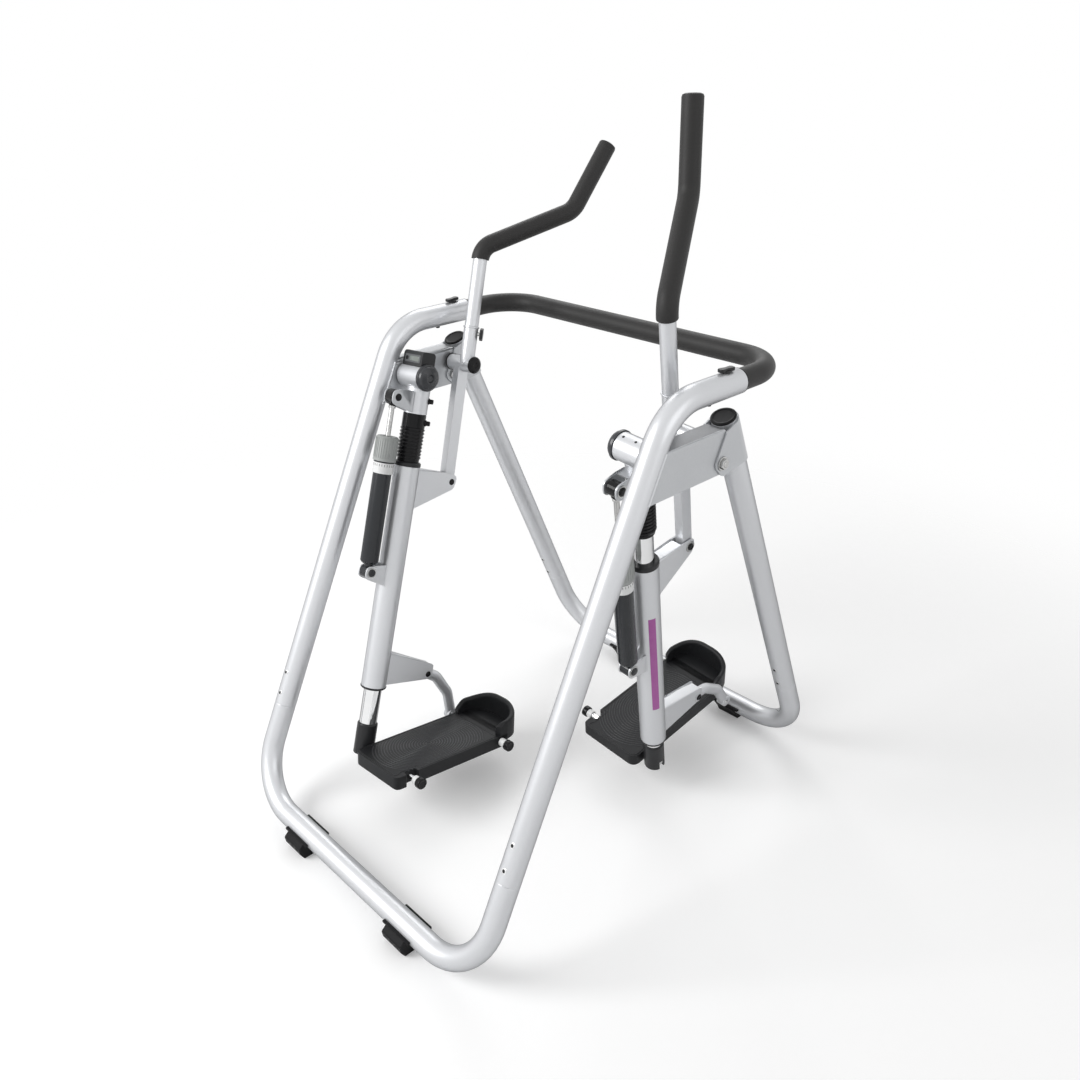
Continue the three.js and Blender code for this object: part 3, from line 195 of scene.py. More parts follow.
looks = {
    "silver": look(
        "silver", (0.67, 0.68, 0.7), (0.72, 0.73, 0.75), (0.65, 0.66, 0.68), (0.34, 0.37),
        (2200, 0.00005), (3, 0.2), metallic=0.62, edgeTint=0.0),
    "bracketGrey": look(
        "silver", (0.5, 0.515, 0.53), (0.57, 0.58, 0.6), (0.46, 0.47, 0.49), (0.36, 0.46),
        (2200, 0.00006), (6, 0.25), metallic=0.5),
    # a darker copy of the bracket grey for the side bracket's top web: painted shade and painted dark
    # reflection on the face that looks up
    "shadedWebGrey": look(
        "silver", (0.15, 0.155, 0.165), (0.19, 0.195, 0.205), (0.13, 0.135, 0.145), (0.36, 0.46),
        (2200, 0.00006), (6, 0.25), metallic=0.35),
    "chrome": look(
        "chrome", (0.86, 0.87, 0.88), (0.9, 0.9, 0.9), (0.78, 0.78, 0.78), (0.05, 0.12),
        (300, 0.000008), (20, 0.35), metallic=1.0, edgeTint=0.1),
    "zinc": look(
        "zinc", (0.52, 0.52, 0.515), (0.62, 0.62, 0.61), (0.4, 0.4, 0.4), (0.18, 0.32),
        (900, 0.00003), (60, 0.5), metallic=0.95, edgeTint=0.1),
    "blackPlastic": look(
        "black_plastic", (0.01, 0.0105, 0.012), (0.016, 0.0165, 0.018), (0.022, 0.023, 0.025),
        (0.36, 0.5), (1500, 0.00012), (18, 0.35), specular=0.35),
    "treadPlastic": look(
        "black_plastic", (0.008, 0.0085, 0.0095), (0.012, 0.0125, 0.014), (0.017, 0.0175, 0.019),
        (0.42, 0.55), (1300, 0.00018), (12, 0.4), specular=0.24),
    # a lighter copy of the tread plastic for the tread rings: the lighter tone is a painted highlight along
    # their crests
    "ridgeHighlightPlastic": look(
        "black_plastic", (0.016, 0.017, 0.019), (0.022, 0.023, 0.026), (0.03, 0.031, 0.034),
        (0.36, 0.46), (1300, 0.0001), (12, 0.4), specular=0.36),
    "satinPlastic": look(
        "black_plastic", (0.026, 0.028, 0.032), (0.033, 0.035, 0.04), (0.04, 0.042, 0.047),
        (0.26, 0.34), (1500, 0.00006), (18, 0.4)),
    "blackPaint": look(
        "black_plastic", (0.014, 0.016, 0.019), (0.018, 0.02, 0.024), (0.022, 0.024, 0.028),
        (0.2, 0.26), (900, 0.00002), (18, 0.4), specular=0.42),
    "glossPlastic": look(
        "black_plastic", (0.008, 0.008, 0.009), (0.012, 0.012, 0.013), (0.016, 0.016, 0.017),
        (0.14, 0.24), (700, 0.00003), (18, 0.4), specular=0.3, edgeTint=0.55),
    # near black for the holes, a painted shade for their hollow insides, and for the printed ticks of the
    # scale
    "holeShadeAndTickBlack": look(
        "black_plastic", (0.006, 0.006, 0.007), (0.01, 0.01, 0.011), (0.01, 0.01, 0.01),
        (0.8, 0.9), (900, 0.00005), (25, 0.3)),
    "rubber": look(
        "black_rubber", (0.011, 0.011, 0.012), (0.017, 0.017, 0.018), (0.026, 0.026, 0.026),
        (0.42, 0.6), (1200, 0.00015), (22, 0.35), specular=0.15, edgeTint=0.4),
    "foam": look(
        "foam", (0.014, 0.0135, 0.0135), (0.024, 0.023, 0.0225), (0.02, 0.0195, 0.019),
        (0.52, 0.66), (1700, 0.0004), (9, 0.4), coarse=0.5, specular=0.32, sheen=0.04),
    "dialGrey": look(
        "dial_grey", (0.33, 0.345, 0.34), (0.39, 0.405, 0.395), (0.28, 0.29, 0.285), (0.45, 0.6),
        (1500, 0.0001), (30, 0.35)),
    "whitePlastic": look(
        "dial_grey", (0.75, 0.76, 0.76), (0.8, 0.8, 0.8), (0.66, 0.66, 0.65), (0.3, 0.42),
        (1500, 0.00005), (30, 0.3)),
    "counterGrey": look(
        "counter_plastic", (0.07, 0.074, 0.078), (0.09, 0.094, 0.1), (0.11, 0.115, 0.12),
        (0.36, 0.5), (1500, 0.0001), (25, 0.35)),
    "screenGlass": look(
        "counter_plastic", (0.16, 0.18, 0.165), (0.19, 0.21, 0.19), (0.14, 0.155, 0.145),
        (0.08, 0.14), (300, 0.00001), (25, 0.3), coat=0.6, coatRoughness=0.05),
    "labelPurple": look(
        "silver", (0.36, 0.075, 0.31), (0.4, 0.09, 0.35), (0.42, 0.14, 0.37), (0.3, 0.4),
        (900, 0.00002), (18, 0.4)),
}
finishes = {name: makeFinish(name, values) for name, values in looks.items()}
print("stage: finishes made")


# everything is drawn in millimetres from the rear floor bar's axis, then placed in metres
machine = {"back": -492.5, "lift": 37.25}
sideNames = {"left": -1, "right": 1}
hip = {"x": 293, "y": 449.2, "z": 837.8, "tilt": 5.0}
linkage = {
    "legAngle": {"left": -19.4, "right": 12.3}, "offset": 8,
    "leverRun": 119, "leverRise": 1.5, "leverLength": 252,
    "upperRun": 113.5, "upperDrop": 210, "lowerRun": 134.5, "lowerDrop": 646.5,
    "rodDrop": 802.5, "frontRod": 239.5, "armLength": 149,
}


def moveTo(x, y, z):
    return Matrix.Translation((x, y, z))


def turnBy(angle, axis):
    return Matrix.Rotation(angle * degree, 4, axis)


machinePlace = Matrix.Scale(0.001, 4) @ moveTo(0, machine["back"], machine["lift"])
# these two turn what is drawn along z onto x and onto y
axisX = Matrix(((0, 0, 1, 0), (1, 0, 0, 0), (0, 1, 0, 0), (0, 0, 0, 1)))
axisY = Matrix(((0, 1, 0, 0), (0, 0, 1, 0), (1, 0, 0, 0), (0, 0, 0, 1)))


# the rest pose of one side's swing, in its own plane: angles in radians, points as run and height
def solveLinkage(side):
    k = linkage
    angle = k["legAngle"][side] * degree
    down = Vector((math.sin(angle), -math.cos(angle)))
    forward = Vector((math.cos(angle), math.sin(angle)))

    def at(run, drop):
        return forward * (k["offset"] + run) + down * drop

    reach = at(k["upperRun"], k["upperDrop"]) - Vector((k["leverRun"], k["leverRise"]))
    along = reach.dot(down)
    slide = math.sqrt(along * along - reach.length_squared + k["leverLength"] ** 2) - along
    link = reach + down * slide
    rod = at(0, k["rodDrop"])
    armPin = at(k["lowerRun"], k["lowerDrop"] + slide)
    span = armPin - rod
    distance = span.length
    opening = (k["frontRod"] ** 2 + distance**2 - k["armLength"] ** 2) / (2 * k["frontRod"] * distance)
    plate = math.atan2(span.y, span.x) - math.acos(opening)
    armSpan = rod + Vector((math.cos(plate), math.sin(plate))) * k["frontRod"] - armPin
    return {
        "leg": angle, "slide": slide, "lever": math.atan2(link.x, -link.y), "plate": plate,
        "arm": math.atan2(armSpan.x, -armSpan.y), "rod": rod, "armPin": armPin,
    }


# a place for each body of one side; the left side is the right one mirrored, with its own pose
def sidePlaces(side):
    sign = sideNames[side]
    rest = solveLinkage(side)

    def hung(place, y, z, angle):
        return place @ moveTo(0, y, z) @ Matrix.Rotation(angle, 4, "X")

    plane = machinePlace @ moveTo(sign * hip["x"], hip["y"], hip["z"]) @ turnBy(sign * hip["tilt"], "Y")
    leg = hung(plane, 0, 0, rest["leg"])
    places = {
        "frame": machinePlace,
        "plane": plane,
        "leg": leg,
        "slider": leg @ moveTo(0, 0, -rest["slide"]),
        "lever": hung(plane, linkage["leverRun"], linkage["leverRise"], rest["lever"]),
        "plate": hung(plane, *rest["rod"], rest["plate"]),
        "arm": hung(plane, *rest["armPin"], rest["arm"]),
        "rod": leg @ moveTo(0, linkage["offset"], -linkage["rodDrop"]),
    }
    return {key: place @ Matrix.Diagonal((sign, 1, 1, 1)) for key, place in places.items()}


# rows of [across, up, radius]: each corner with a radius becomes an arc
def rounded(rows, closed=True, steps=5):
    points = []
    count = len(rows)
    for i, row in enumerate(rows):
        here = Vector(row[:2])
        radius = row[2] if len(row) > 2 else 0
        if radius <= 0 or (not closed and i in (0, count - 1)):
            points.append(here)
            continue
        before = Vector(rows[i - 1][:2]) - here
        after = Vector(rows[(i + 1) % count][:2]) - here
        turn = math.pi - before.angle(after)
        reach = min(radius * math.tan(turn / 2), before.length * 0.49, after.length * 0.49)
        start, end = here + before.normalized() * reach, here + after.normalized() * reach
        for k in range(steps + 1):
            t = k / steps
            points.append(start * (1 - t) ** 2 + here * 2 * t * (1 - t) + end * t * t)
    return points


def circle(radius, sides, start=0.0):
    turns = [start + 2 * math.pi * k / sides for k in range(sides)]
    return [(radius * math.cos(a), radius * math.sin(a)) for a in turns]


def paint(faces, material):
    for face in faces:
        face.material_index = material


# faces between two rings of corners; one of them may be a single point
def bridge(mesh, lower, upper):
    faces = []
    count = max(len(lower), len(upper))
    for k in range(count):
        n = (k + 1) % count
        if len(lower) == 1:
            corners = (lower[0], upper[k], upper[n])
        elif len(upper) == 1:
            corners = (lower[k], upper[0], lower[n])
        else:
            corners = (lower[k], upper[k], upper[n], lower[n])
        faces.append(mesh.faces.new(corners))
    return faces


def bridgeAll(mesh, rings, closed=False):
    faces = []
    for lower, upper in list(zip(rings, rings[1:])) + ([(rings[-1], rings[0])] if closed else []):
        faces += bridge(mesh, lower, upper)
    return faces


# a turned solid from rows of [radius, along, corner radius], hollow if it starts off the axis
def turned(mesh, rows, place, material=0, sides=56, steps=4):
    hollow = rows[0][0] > 0
    rings = []
    for radius, along in rounded(rows, hollow, steps):
        corners = circle(radius, sides) if radius > 0 else [(0, 0)]
        rings.append([mesh.verts.new(place @ Vector((x, y, along))) for x, y in corners])
    paint(bridgeAll(mesh, rings, hollow), material)


# a drum between two ends, each with the radius of its outer edge, round a bore if it has one
def drum(mesh, radius, ends, edges, place, material=0, sides=56, bore=0):
    low, high = ends
    rows = [[bore, low], [radius, low, edges[0]], [radius, high, edges[1]], [bore, high]]
    turned(mesh, rows, place, material, sides)


# positions and directions along corners of (point, bend radius), an arc point every few degrees
def roundedPath(corners, step=4.0):
    stations = []
    last = len(corners) - 1
    for i, (point, bend) in enumerate(corners):
        here = Vector(point)
        if i in (0, last):
            other = Vector(corners[1 if i == 0 else last - 1][0])
            stations.append((here, (other - here if i == 0 else here - other).normalized()))
            continue
        arriving = (here - Vector(corners[i - 1][0])).normalized()
        leaving = (Vector(corners[i + 1][0]) - here).normalized()
        turn = arriving.angle(leaving)
        side = (leaving - arriving * math.cos(turn)).normalized()
        start = here - arriving * bend * math.tan(turn / 2)
        count = max(2, math.ceil(turn / (step * degree)))
        for k in range(count + 1):
            a = turn * k / count
            position = start + arriving * bend * math.sin(a) + side * bend * (1 - math.cos(a))
            stations.append((position, arriving * math.cos(a) + side * math.sin(a)))
    return stations


def ringsAlong(mesh, stations, sections, place, normal=Vector((1, 0, 0))):
    rings = []
    for (position, direction), section in zip(stations, sections):
        normal = (normal - direction * normal.dot(direction)).normalized()
        across = direction.cross(normal)
        corners = [position + normal * a + across * b for a, b in section]
        rings.append([mesh.verts.new(place @ corner) for corner in corners])
    return rings


def sweep(mesh, stations, section, place, material=0, bore=None, closed=False, normal=Vector((1, 0, 0))):
    shapes = [shape for shape in (section, bore) if shape]
    shells = [ringsAlong(mesh, stations, [shape] * len(stations), place, normal) for shape in shapes]
    faces = []
    for rings in shells:
        faces += bridgeAll(mesh, rings, closed)
    for end in () if closed else (0, -1):
        ends = [rings[end] for rings in shells]
        faces += bridge(mesh, *ends) if bore else [mesh.faces.new(ends[0])]
    paint(faces, material)


def pipe(mesh, corners, radius, place, material=0, bore=0, sides=40, step=4.0):
    inner = circle(bore, sides) if bore else None
    sweep(mesh, roundedPath(corners, step), circle(radius, sides), place, material, inner)


# a weld bead through the points
def bead(mesh, points, radius, place, material=0, closed=False):
    spots = [Vector(p) for p in points]
    stations = []
    for i, spot in enumerate(spots):
        after = spots[(i + 1) % len(spots)] if closed or i + 1 < len(spots) else spot
        before = spots[i - 1] if closed or i else spot
        stations.append((spot, (after - before).normalized()))
    anySlant = Vector((0.3, 0.2, 0.93))
    sweep(mesh, stations, circle(radius, 8), place, material, closed=closed, normal=anySlant)


# a bead down a straight seam that wanders a little from side to side
def seamBead(mesh, ends, k, place):
    points = []
    for n in range(k["steps"] + 1):
        x, y, z = (low + (high - low) * n / k["steps"] for low, high in zip(*ends))
        points.append((x, y + k["wobble"] * (n % 2), z))
    bead(mesh, points, k["radius"], place)


# the bead where a post stands on a drum that lies along x; far out it dips a little
def postBead(mesh, place, post, x, y, drumRadius, upward, radius, count):
    points = []
    for across, along in circle(post, count):
        py = y + along
        rise = upward * math.sqrt(max(0, drumRadius**2 - py * py))
        points.append((x + across, py, rise - (2 if abs(py) > 22 else 0)))
    bead(mesh, points, radius, place, closed=True)


# an outline pushed along x (drawn in y and z) or along z (drawn in x and y)
def prism(mesh, points, low, high, place, material=0, along="x"):
    rings = []
    for t in (low, high):
        corners = [Vector((t, *p)) if along == "x" else Vector((*p, t)) for p in points]
        rings.append([mesh.verts.new(place @ corner) for corner in corners])
    paint(bridge(mesh, *rings) + [mesh.faces.new(ring) for ring in rings], material)


# a folded channel of sheet: two cheeks with the outline and a web along one stretch of it; its large faces
# that look up may take a darker finish, a painted shade
def foldedSheet(mesh, rows, fold, halfWidth, sheet, place, material=0, foldRadius=3.5, webShadeMaterial=None):
    part = bmesh.new()
    outline = rounded(rows)
    a, b = (min(range(len(outline)), key=lambda i: (outline[i] - Vector(end)).length) for end in fold)
    cheeks = [[part.verts.new((side * halfWidth, *p)) for p in outline] for side in (-1, 1)]
    for cheek in cheeks:
        part.faces.new(cheek)
    part.faces.new((cheeks[0][a], cheeks[0][b], cheeks[1][b], cheeks[1][a]))
    folds = [e for e in part.edges if len(e.link_faces) == 2]
    bmesh.ops.bevel(part, geom=folds, offset=foldRadius, segments=4, profile=0.5, affect="EDGES")
    bmesh.ops.recalc_face_normals(part, faces=part.faces)
    thickenInwards(part, sheet)
    faces = addPart(mesh, part, place, material)
    # large faces that look up get the darker web finish, a painted shade on the web
    if webShadeMaterial is not None:
        paint([f for f in faces if f.normal.z > 0.9 and f.calc_area() > 0.001], webShadeMaterial)


# gives an open shell its thickness on the inner side
def thickenInwards(part, sheet):
    cheek = max((f for f in part.faces if f.normal.x ** 2 > 0.9), key=lambda f: f.calc_center_median().x)
    if cheek.normal.x < 0:
        bmesh.ops.reverse_faces(part, faces=part.faces)
    part.normal_update()
    outer, rims = list(part.faces), [e for e in part.edges if e.is_boundary]
    pairs = [(e.link_loops[0].vert, e.link_loops[0].link_loop_next.vert) for e in rims]
    inner = {}
    for v in list(part.verts):
        # the shift that moves every face at this corner in by one sheet
        spread = []
        for f in v.link_faces:
            if all(f.normal.dot(n) < 0.999 for n in spread):
                spread.append(f.normal.copy())
        mean = sum(spread, Vector()).normalized()
        reach = sheet / max(0.5, min(mean.dot(n) for n in spread))
        inner[v] = part.verts.new(v.co - mean * reach)
    for face in outer:
        part.faces.new([inner[v] for v in reversed(face.verts)])
    for a, b in pairs:
        part.faces.new((b, a, inner[a], inner[b]))


# trims a solid to a convex outline in its side view
def trimToOutline(part, points):
    centre = sum(points, Vector((0, 0))) / len(points)
    for i, here in enumerate(points):
        along = points[(i + 1) % len(points)] - here
        if along.length < 0.01:
            continue
        out = Vector((0, along.y, -along.x))
        if out.yz.dot(here - centre) < 0:
            out = -out
        whole = part.verts[:] + part.edges[:] + part.faces[:]
        cut = {"plane_co": (0, *here), "plane_no": out, "clear_outer": True}
        found = bmesh.ops.bisect_plane(part, geom=whole, **cut)
        edges = [e for e in found["geom_cut"] if isinstance(e, bmesh.types.BMEdge)]
        if edges:
            bmesh.ops.edgeloop_fill(part, edges=edges)


def addPart(mesh, part, place, material=0):
    bmesh.ops.transform(part, matrix=place, verts=part.verts)
    data = bpy.data.meshes.new("part")
    part.to_mesh(data)
    part.free()
    before = len(mesh.faces)
    mesh.from_mesh(data)
    bpy.data.meshes.remove(data)
    mesh.faces.ensure_lookup_table()
    faces = mesh.faces[before:]
    paint(faces, material)
    return faces


def geometryTree(name, sizes):
    inputs = {"Geometry": "NodeSocketGeometry", **sizes, "Material": "NodeSocketMaterial"}
    tree, given, result = nodeGroup(name, "GeometryNodeTree", inputs, {"Geometry": "NodeSocketGeometry"})
    tree.is_modifier = True
    return tree, given, result


def closeTree(tree, given, result, made):
    real = addNode(tree, "GeometryNodeRealizeInstances", {"Geometry": made})[0]
    painted = addNode(tree, "GeometryNodeSetMaterial", {"Geometry": real, "Material": given["Material"]})[0]
    feed(tree, result["Geometry"], painted)
    return tree


def copiesOn(tree, points, shape, **others):
    sockets = {"Points": points, "Instance": shape, **others}
    return addNode(tree, "GeometryNodeInstanceOnPoints", sockets)[0]


def rowOf(tree, given, shape):
    sockets = {"Count": given["Count"], "Offset": combine(tree, 0, 0, given["Pitch"])}
    return copiesOn(tree, addNode(tree, "GeometryNodeMeshLine", sockets)[0], shape)


def curveCircle(tree, radius, sides):
    return addNode(tree, "GeometryNodeCurvePrimitiveCircle", {"Resolution": sides, "Radius": radius})[0]


def barAlong(tree, curve, radius, sides, capped):
    sockets = {"Curve": curve, "Profile Curve": curveCircle(tree, radius, sides), "Fill Caps": capped}
    return addNode(tree, "GeometryNodeCurveToMesh", sockets)[0]


# rings in a row along z, as on a ribbed sleeve
def makeRibTree():
    sizes = {"Count": 14, "Pitch": 4.0, "Radius": 24.0, "Thickness": 1.2, "Sides": 48}
    tree, given, result = geometryTree("ribRow", sizes)
    ring = barAlong(tree, curveCircle(tree, given["Radius"], given["Sides"]), given["Thickness"], 6, False)
    return closeTree(tree, given, result, rowOf(tree, given, ring))


# short bars round a drum, as the knurls of a dial or the ticks of a scale
def makeKnurlTree():
    sizes = {"Count": 26, "Radius": 22.5, "Width": 2.4, "Depth": 2.0, "Height": 40.0}
    tree, given, result = geometryTree("knurlRing", sizes)
    sockets = {"Vertices": given["Count"], "Radius": given["Radius"]}
    ring = addNode(tree, "GeometryNodeMeshCircle", sockets)[0]
    size = combine(tree, given["Depth"], given["Width"], given["Height"])
    bar = addNode(tree, "GeometryNodeMeshCube", {"Size": size})[0]
    outwards = {"Vector": addNode(tree, "GeometryNodeInputPosition")[0]}
    turn = addNode(tree, "FunctionNodeAlignRotationToVector", outwards, axis="X")[0]
    return closeTree(tree, given, result, copiesOn(tree, ring, bar, Rotation=turn))


# domed screw heads in a row along z, standing out along x
def makeScrewTree():
    sizes = {"Count": 2, "Pitch": 47.0, "Radius": 5.0, "Height": 2.6, "Out": 22.0}
    tree, given, result = geometryTree("screwRow", sizes)
    sockets = {"Segments": 20, "Rings": 10, "Radius": given["Radius"]}
    dome = addNode(tree, "GeometryNodeMeshUVSphere", sockets)[0]
    flatness = mathNode(tree, "DIVIDE", given["Height"], given["Radius"])
    sockets = {
        "Geometry": dome, "Scale": combine(tree, flatness, 1.0, 1.0),
        "Translation": combine(tree, given["Out"], 0, 0),
    }
    head = addNode(tree, "GeometryNodeTransform", sockets)[0]
    return closeTree(tree, given, result, rowOf(tree, given, head))


# oval rings one inside the other, cut off at the edge of a plate
def makeTreadTree():
    sizes = {
        "Count": 18, "Pitch": 6.4, "Ratio": 0.8, "Half width": 67.0, "Half length": 130.0, "Ridge": 1.5,
    }
    tree, given, result = geometryTree("treadRings", sizes)
    spots = addNode(tree, "GeometryNodeMeshLine", {"Offset": (0, 0, 0), "Count": given["Count"]})[0]
    ring = addNode(tree, "GeometryNodeMeshCircle", {"Vertices": 120})[0]
    number = mathNode(tree, "ADD", addNode(tree, "GeometryNodeInputIndex")[0], 1.0)
    along = mathNode(tree, "MULTIPLY", number, given["Pitch"])
    across = mathNode(tree, "MULTIPLY", along, given["Ratio"])
    rings = copiesOn(tree, spots, ring, Scale=combine(tree, across, along, 1.0))
    real = addNode(tree, "GeometryNodeRealizeInstances", {"Geometry": rings})[0]
    where = addNode(tree, "ShaderNodeSeparateXYZ", {0: addNode(tree, "GeometryNodeInputPosition")[0]})
    past = [
        mathNode(tree, "GREATER_THAN", mathNode(tree, "ABSOLUTE", where[axis]), given[limit])
        for axis, limit in (("X", "Half width"), ("Y", "Half length"))
    ]
    sockets = {"Geometry": real, "Selection": mathNode(tree, "MAXIMUM", *past)}
    inside = addNode(tree, "GeometryNodeDeleteGeometry", sockets, domain="POINT")[0]
    lines = addNode(tree, "GeometryNodeMeshToCurve", {"Mesh": inside})[0]
    return closeTree(tree, given, result, barAlong(tree, lines, given["Ridge"], 6, True))


# a bar bent up at both ends: a base along x and two runs along z
def makeBarTree():
    sizes = {"Half width": 356.0, "Run": 200.0, "Bend": 117.0, "Radius": 22.25, "Sides": 48, "Steps": 20}
    tree, given, result = geometryTree("bentBar", sizes)
    corners = addNode(tree, "GeometryNodeMeshLine", {"Count": 4})[0]
    # corners 0 to 3: the side is -1 or 1, and the outer two stand up
    number = addNode(tree, "GeometryNodeInputIndex")[0]
    later = mathNode(tree, "GREATER_THAN", number, 1.5)
    side = mathNode(tree, "SUBTRACT", mathNode(tree, "MULTIPLY", later, 2.0), 1.0)
    fromMiddle = mathNode(tree, "ABSOLUTE", mathNode(tree, "SUBTRACT", number, 1.5))
    end = mathNode(tree, "GREATER_THAN", fromMiddle, 1.0)
    x = mathNode(tree, "MULTIPLY", side, given["Half width"])
    z = mathNode(tree, "MULTIPLY", end, given["Run"])
    sockets = {"Geometry": corners, "Position": combine(tree, x, 0, z)}
    shape = addNode(tree, "GeometryNodeSetPosition", sockets)[0]
    lines = addNode(tree, "GeometryNodeMeshToCurve", {"Mesh": shape})[0]
    sockets = {"Curve": lines, "Radius": given["Bend"], "Count": given["Steps"]}
    bent = addNode(tree, "GeometryNodeFilletCurve", sockets, mode="POLY")[0]
    return closeTree(tree, given, result, barAlong(tree, bent, given["Radius"], given["Sides"], True))


ribTree, knurlTree, screwTree = makeRibTree(), makeKnurlTree(), makeScrewTree()
treadTree, barTree = makeTreadTree(), makeBarTree()


# takes the mesh that the object's modifiers make and clears them
def settle(thing):
    made = bpy.data.meshes.new_from_object(thing.evaluated_get(bpy.context.evaluated_depsgraph_get()))
    before = thing.data
    thing.modifiers.clear()
    thing.data = made
    bpy.data.meshes.remove(before)
    return made


# runs a tree on a bare mesh and adds what it makes to the piece
def grow(mesh, tree, values, place, material=0, finish="silver"):
    seed = addToScene("seed", bpy.data.meshes.new("seed"))
    modifier = seed.modifiers.new("grow", "NODES")
    modifier.node_group = tree
    values = {**values, "Material": finishes[finish]}
    for socket in tree.interface.items_tree:
        if socket.in_out == "INPUT" and socket.name in values:
            modifier[socket.identifier] = values[socket.name]
    made = settle(seed)
    part = bmesh.new()
    part.from_mesh(made)
    bpy.data.objects.remove(seed)
    bpy.data.meshes.remove(made)
    addPart(mesh, part, place, material)


def finishPiece(mesh, name, body, nodes, paints, bevel=0.0, angle=32.0, segments=2):
    bmesh.ops.remove_doubles(mesh, verts=mesh.verts, dist=0.0000005)
    bmesh.ops.recalc_face_normals(mesh, faces=mesh.faces)
    data = bpy.data.meshes.new(name)
    mesh.to_mesh(data)
    mesh.free()
    for finish in paints:
        data.materials.append(finishes[finish])
    piece = addToScene(name, data)
    if bevel:
        soft = piece.modifiers.new("softEdges", "BEVEL")
        soft.width = bevel * 0.001
        soft.segments = segments
        soft.limit_method = "ANGLE"
        soft.angle_limit = angle * degree
        soft.use_clamp_overlap = True
        settle(piece)
    piece.data.shade_smooth()
    piece.data.set_sharp_from_angle(angle=angle * degree)
    even = piece.modifiers.new("evenShading", "WEIGHTED_NORMAL")
    even.keep_sharp = True
    even.weight = 80
    settle(piece)
    piece.data.name = name
    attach(piece, body)
    if nodes:
        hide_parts(*nodes)
    return piece


# a piece of one side, which stands for the CAD node of the same name
def finishSide(mesh, side, name, body, paints, **edges):
    node = "".join("_" + letter.lower() if letter.isupper() else letter for letter in name)
    return finishPiece(mesh, side + name, body, [side + node], paints, **edges)


frameTube = {
    "radius": 22.25, "bore": 19.75, "sides": 48, "halfWidth": 356, "length": 985, "seamRun": 200,
    "seamGap": 0.3, "bendSteps": 22, "cornerY": 453.4, "cornerZ": 930.9, "topBend": 107, "endY": 632,
    "frontTopY": 600.5, "frontTopZ": 876.3, "capHead": 3,
}
seamHoles = {"first": 24, "pitch": 47.0, "out": 22.0, "turn": -90, "rim": (5.6, 0.7), "hole": (3.9, 1.0)}
rearDirection = Vector((0, frameTube["cornerY"], frameTube["cornerZ"])).normalized()
frontLean = frameTube["frontTopY"] - frameTube["length"]
frontDirection = Vector((0, frontLean, frameTube["frontTopZ"])).normalized()
# body, y, the way its runs go up and the bend's radius
floorBars = {
    "rear": ("frame", 0, rearDirection, 117.0),
    "front": ("front_stand", frameTube["length"], frontDirection, 128.0),
}


# a place whose z runs along a slanted tube
def tubeFrame(direction, x, y, z=0):
    across = Vector((1, 0, 0))
    return moveTo(x, y, z) @ Matrix((across, direction.cross(across), direction)).transposed().to_4x4()


def addFloorBar(where):
    k = frameTube
    body, y, direction, bend = floorBars[where]
    mesh = bmesh.new()
    sizes = {
        "Half width": float(k["halfWidth"]), "Run": float(k["seamRun"]), "Bend": bend,
        "Radius": k["radius"], "Sides": k["sides"], "Steps": k["bendSteps"],
    }
    grow(mesh, barTree, sizes, machinePlace @ tubeFrame(direction, 0, y))
    finishPiece(mesh, f"{where}FloorBar", body, [f"{where}_floor_bar"], ["silver"], bevel=1.3, segments=3)


# two small holes above a seam, each with a pressed rim; each hole is a flat dark dome on the tube, its
# black a painted shade for the hollow inside
def addSeamHoles(mesh, place, direction, y, dark, bright):
    k = seamHoles
    start = moveTo(0, 0, frameTube["seamRun"] + k["first"]) @ turnBy(k["turn"], "Z")
    spot = place @ tubeFrame(direction, frameTube["halfWidth"], y) @ start
    for key, material, finish in (("rim", bright, "chrome"), ("hole", dark, "holeShadeAndTickBlack")):
        radius, height = k[key]
        sizes = {"Count": 2, "Pitch": k["pitch"], "Radius": radius, "Height": height, "Out": k["out"]}
        grow(mesh, screwTree, sizes, spot, material, finish)


sideBracket = {
    "top": 864, "bottom": 785, "halfWidth": 22, "sheet": 3, "rearOffset": 9, "nose": 592.3,
    "noseRadius": 20, "shoulder": 822, "webEnd": 579.8, "foldRadius": 4.5,
}
bracketWeld = {"radius": 2.2, "steps": 12, "rise": 5, "wobble": 0.5}
axles = {"hipRadius": 12.5, "hipInner": 22, "leverRadius": 7.5, "leverInner": 28, "outer": 83.8}
railNub = {"y": 557, "radius": 4.5, "height": 4}


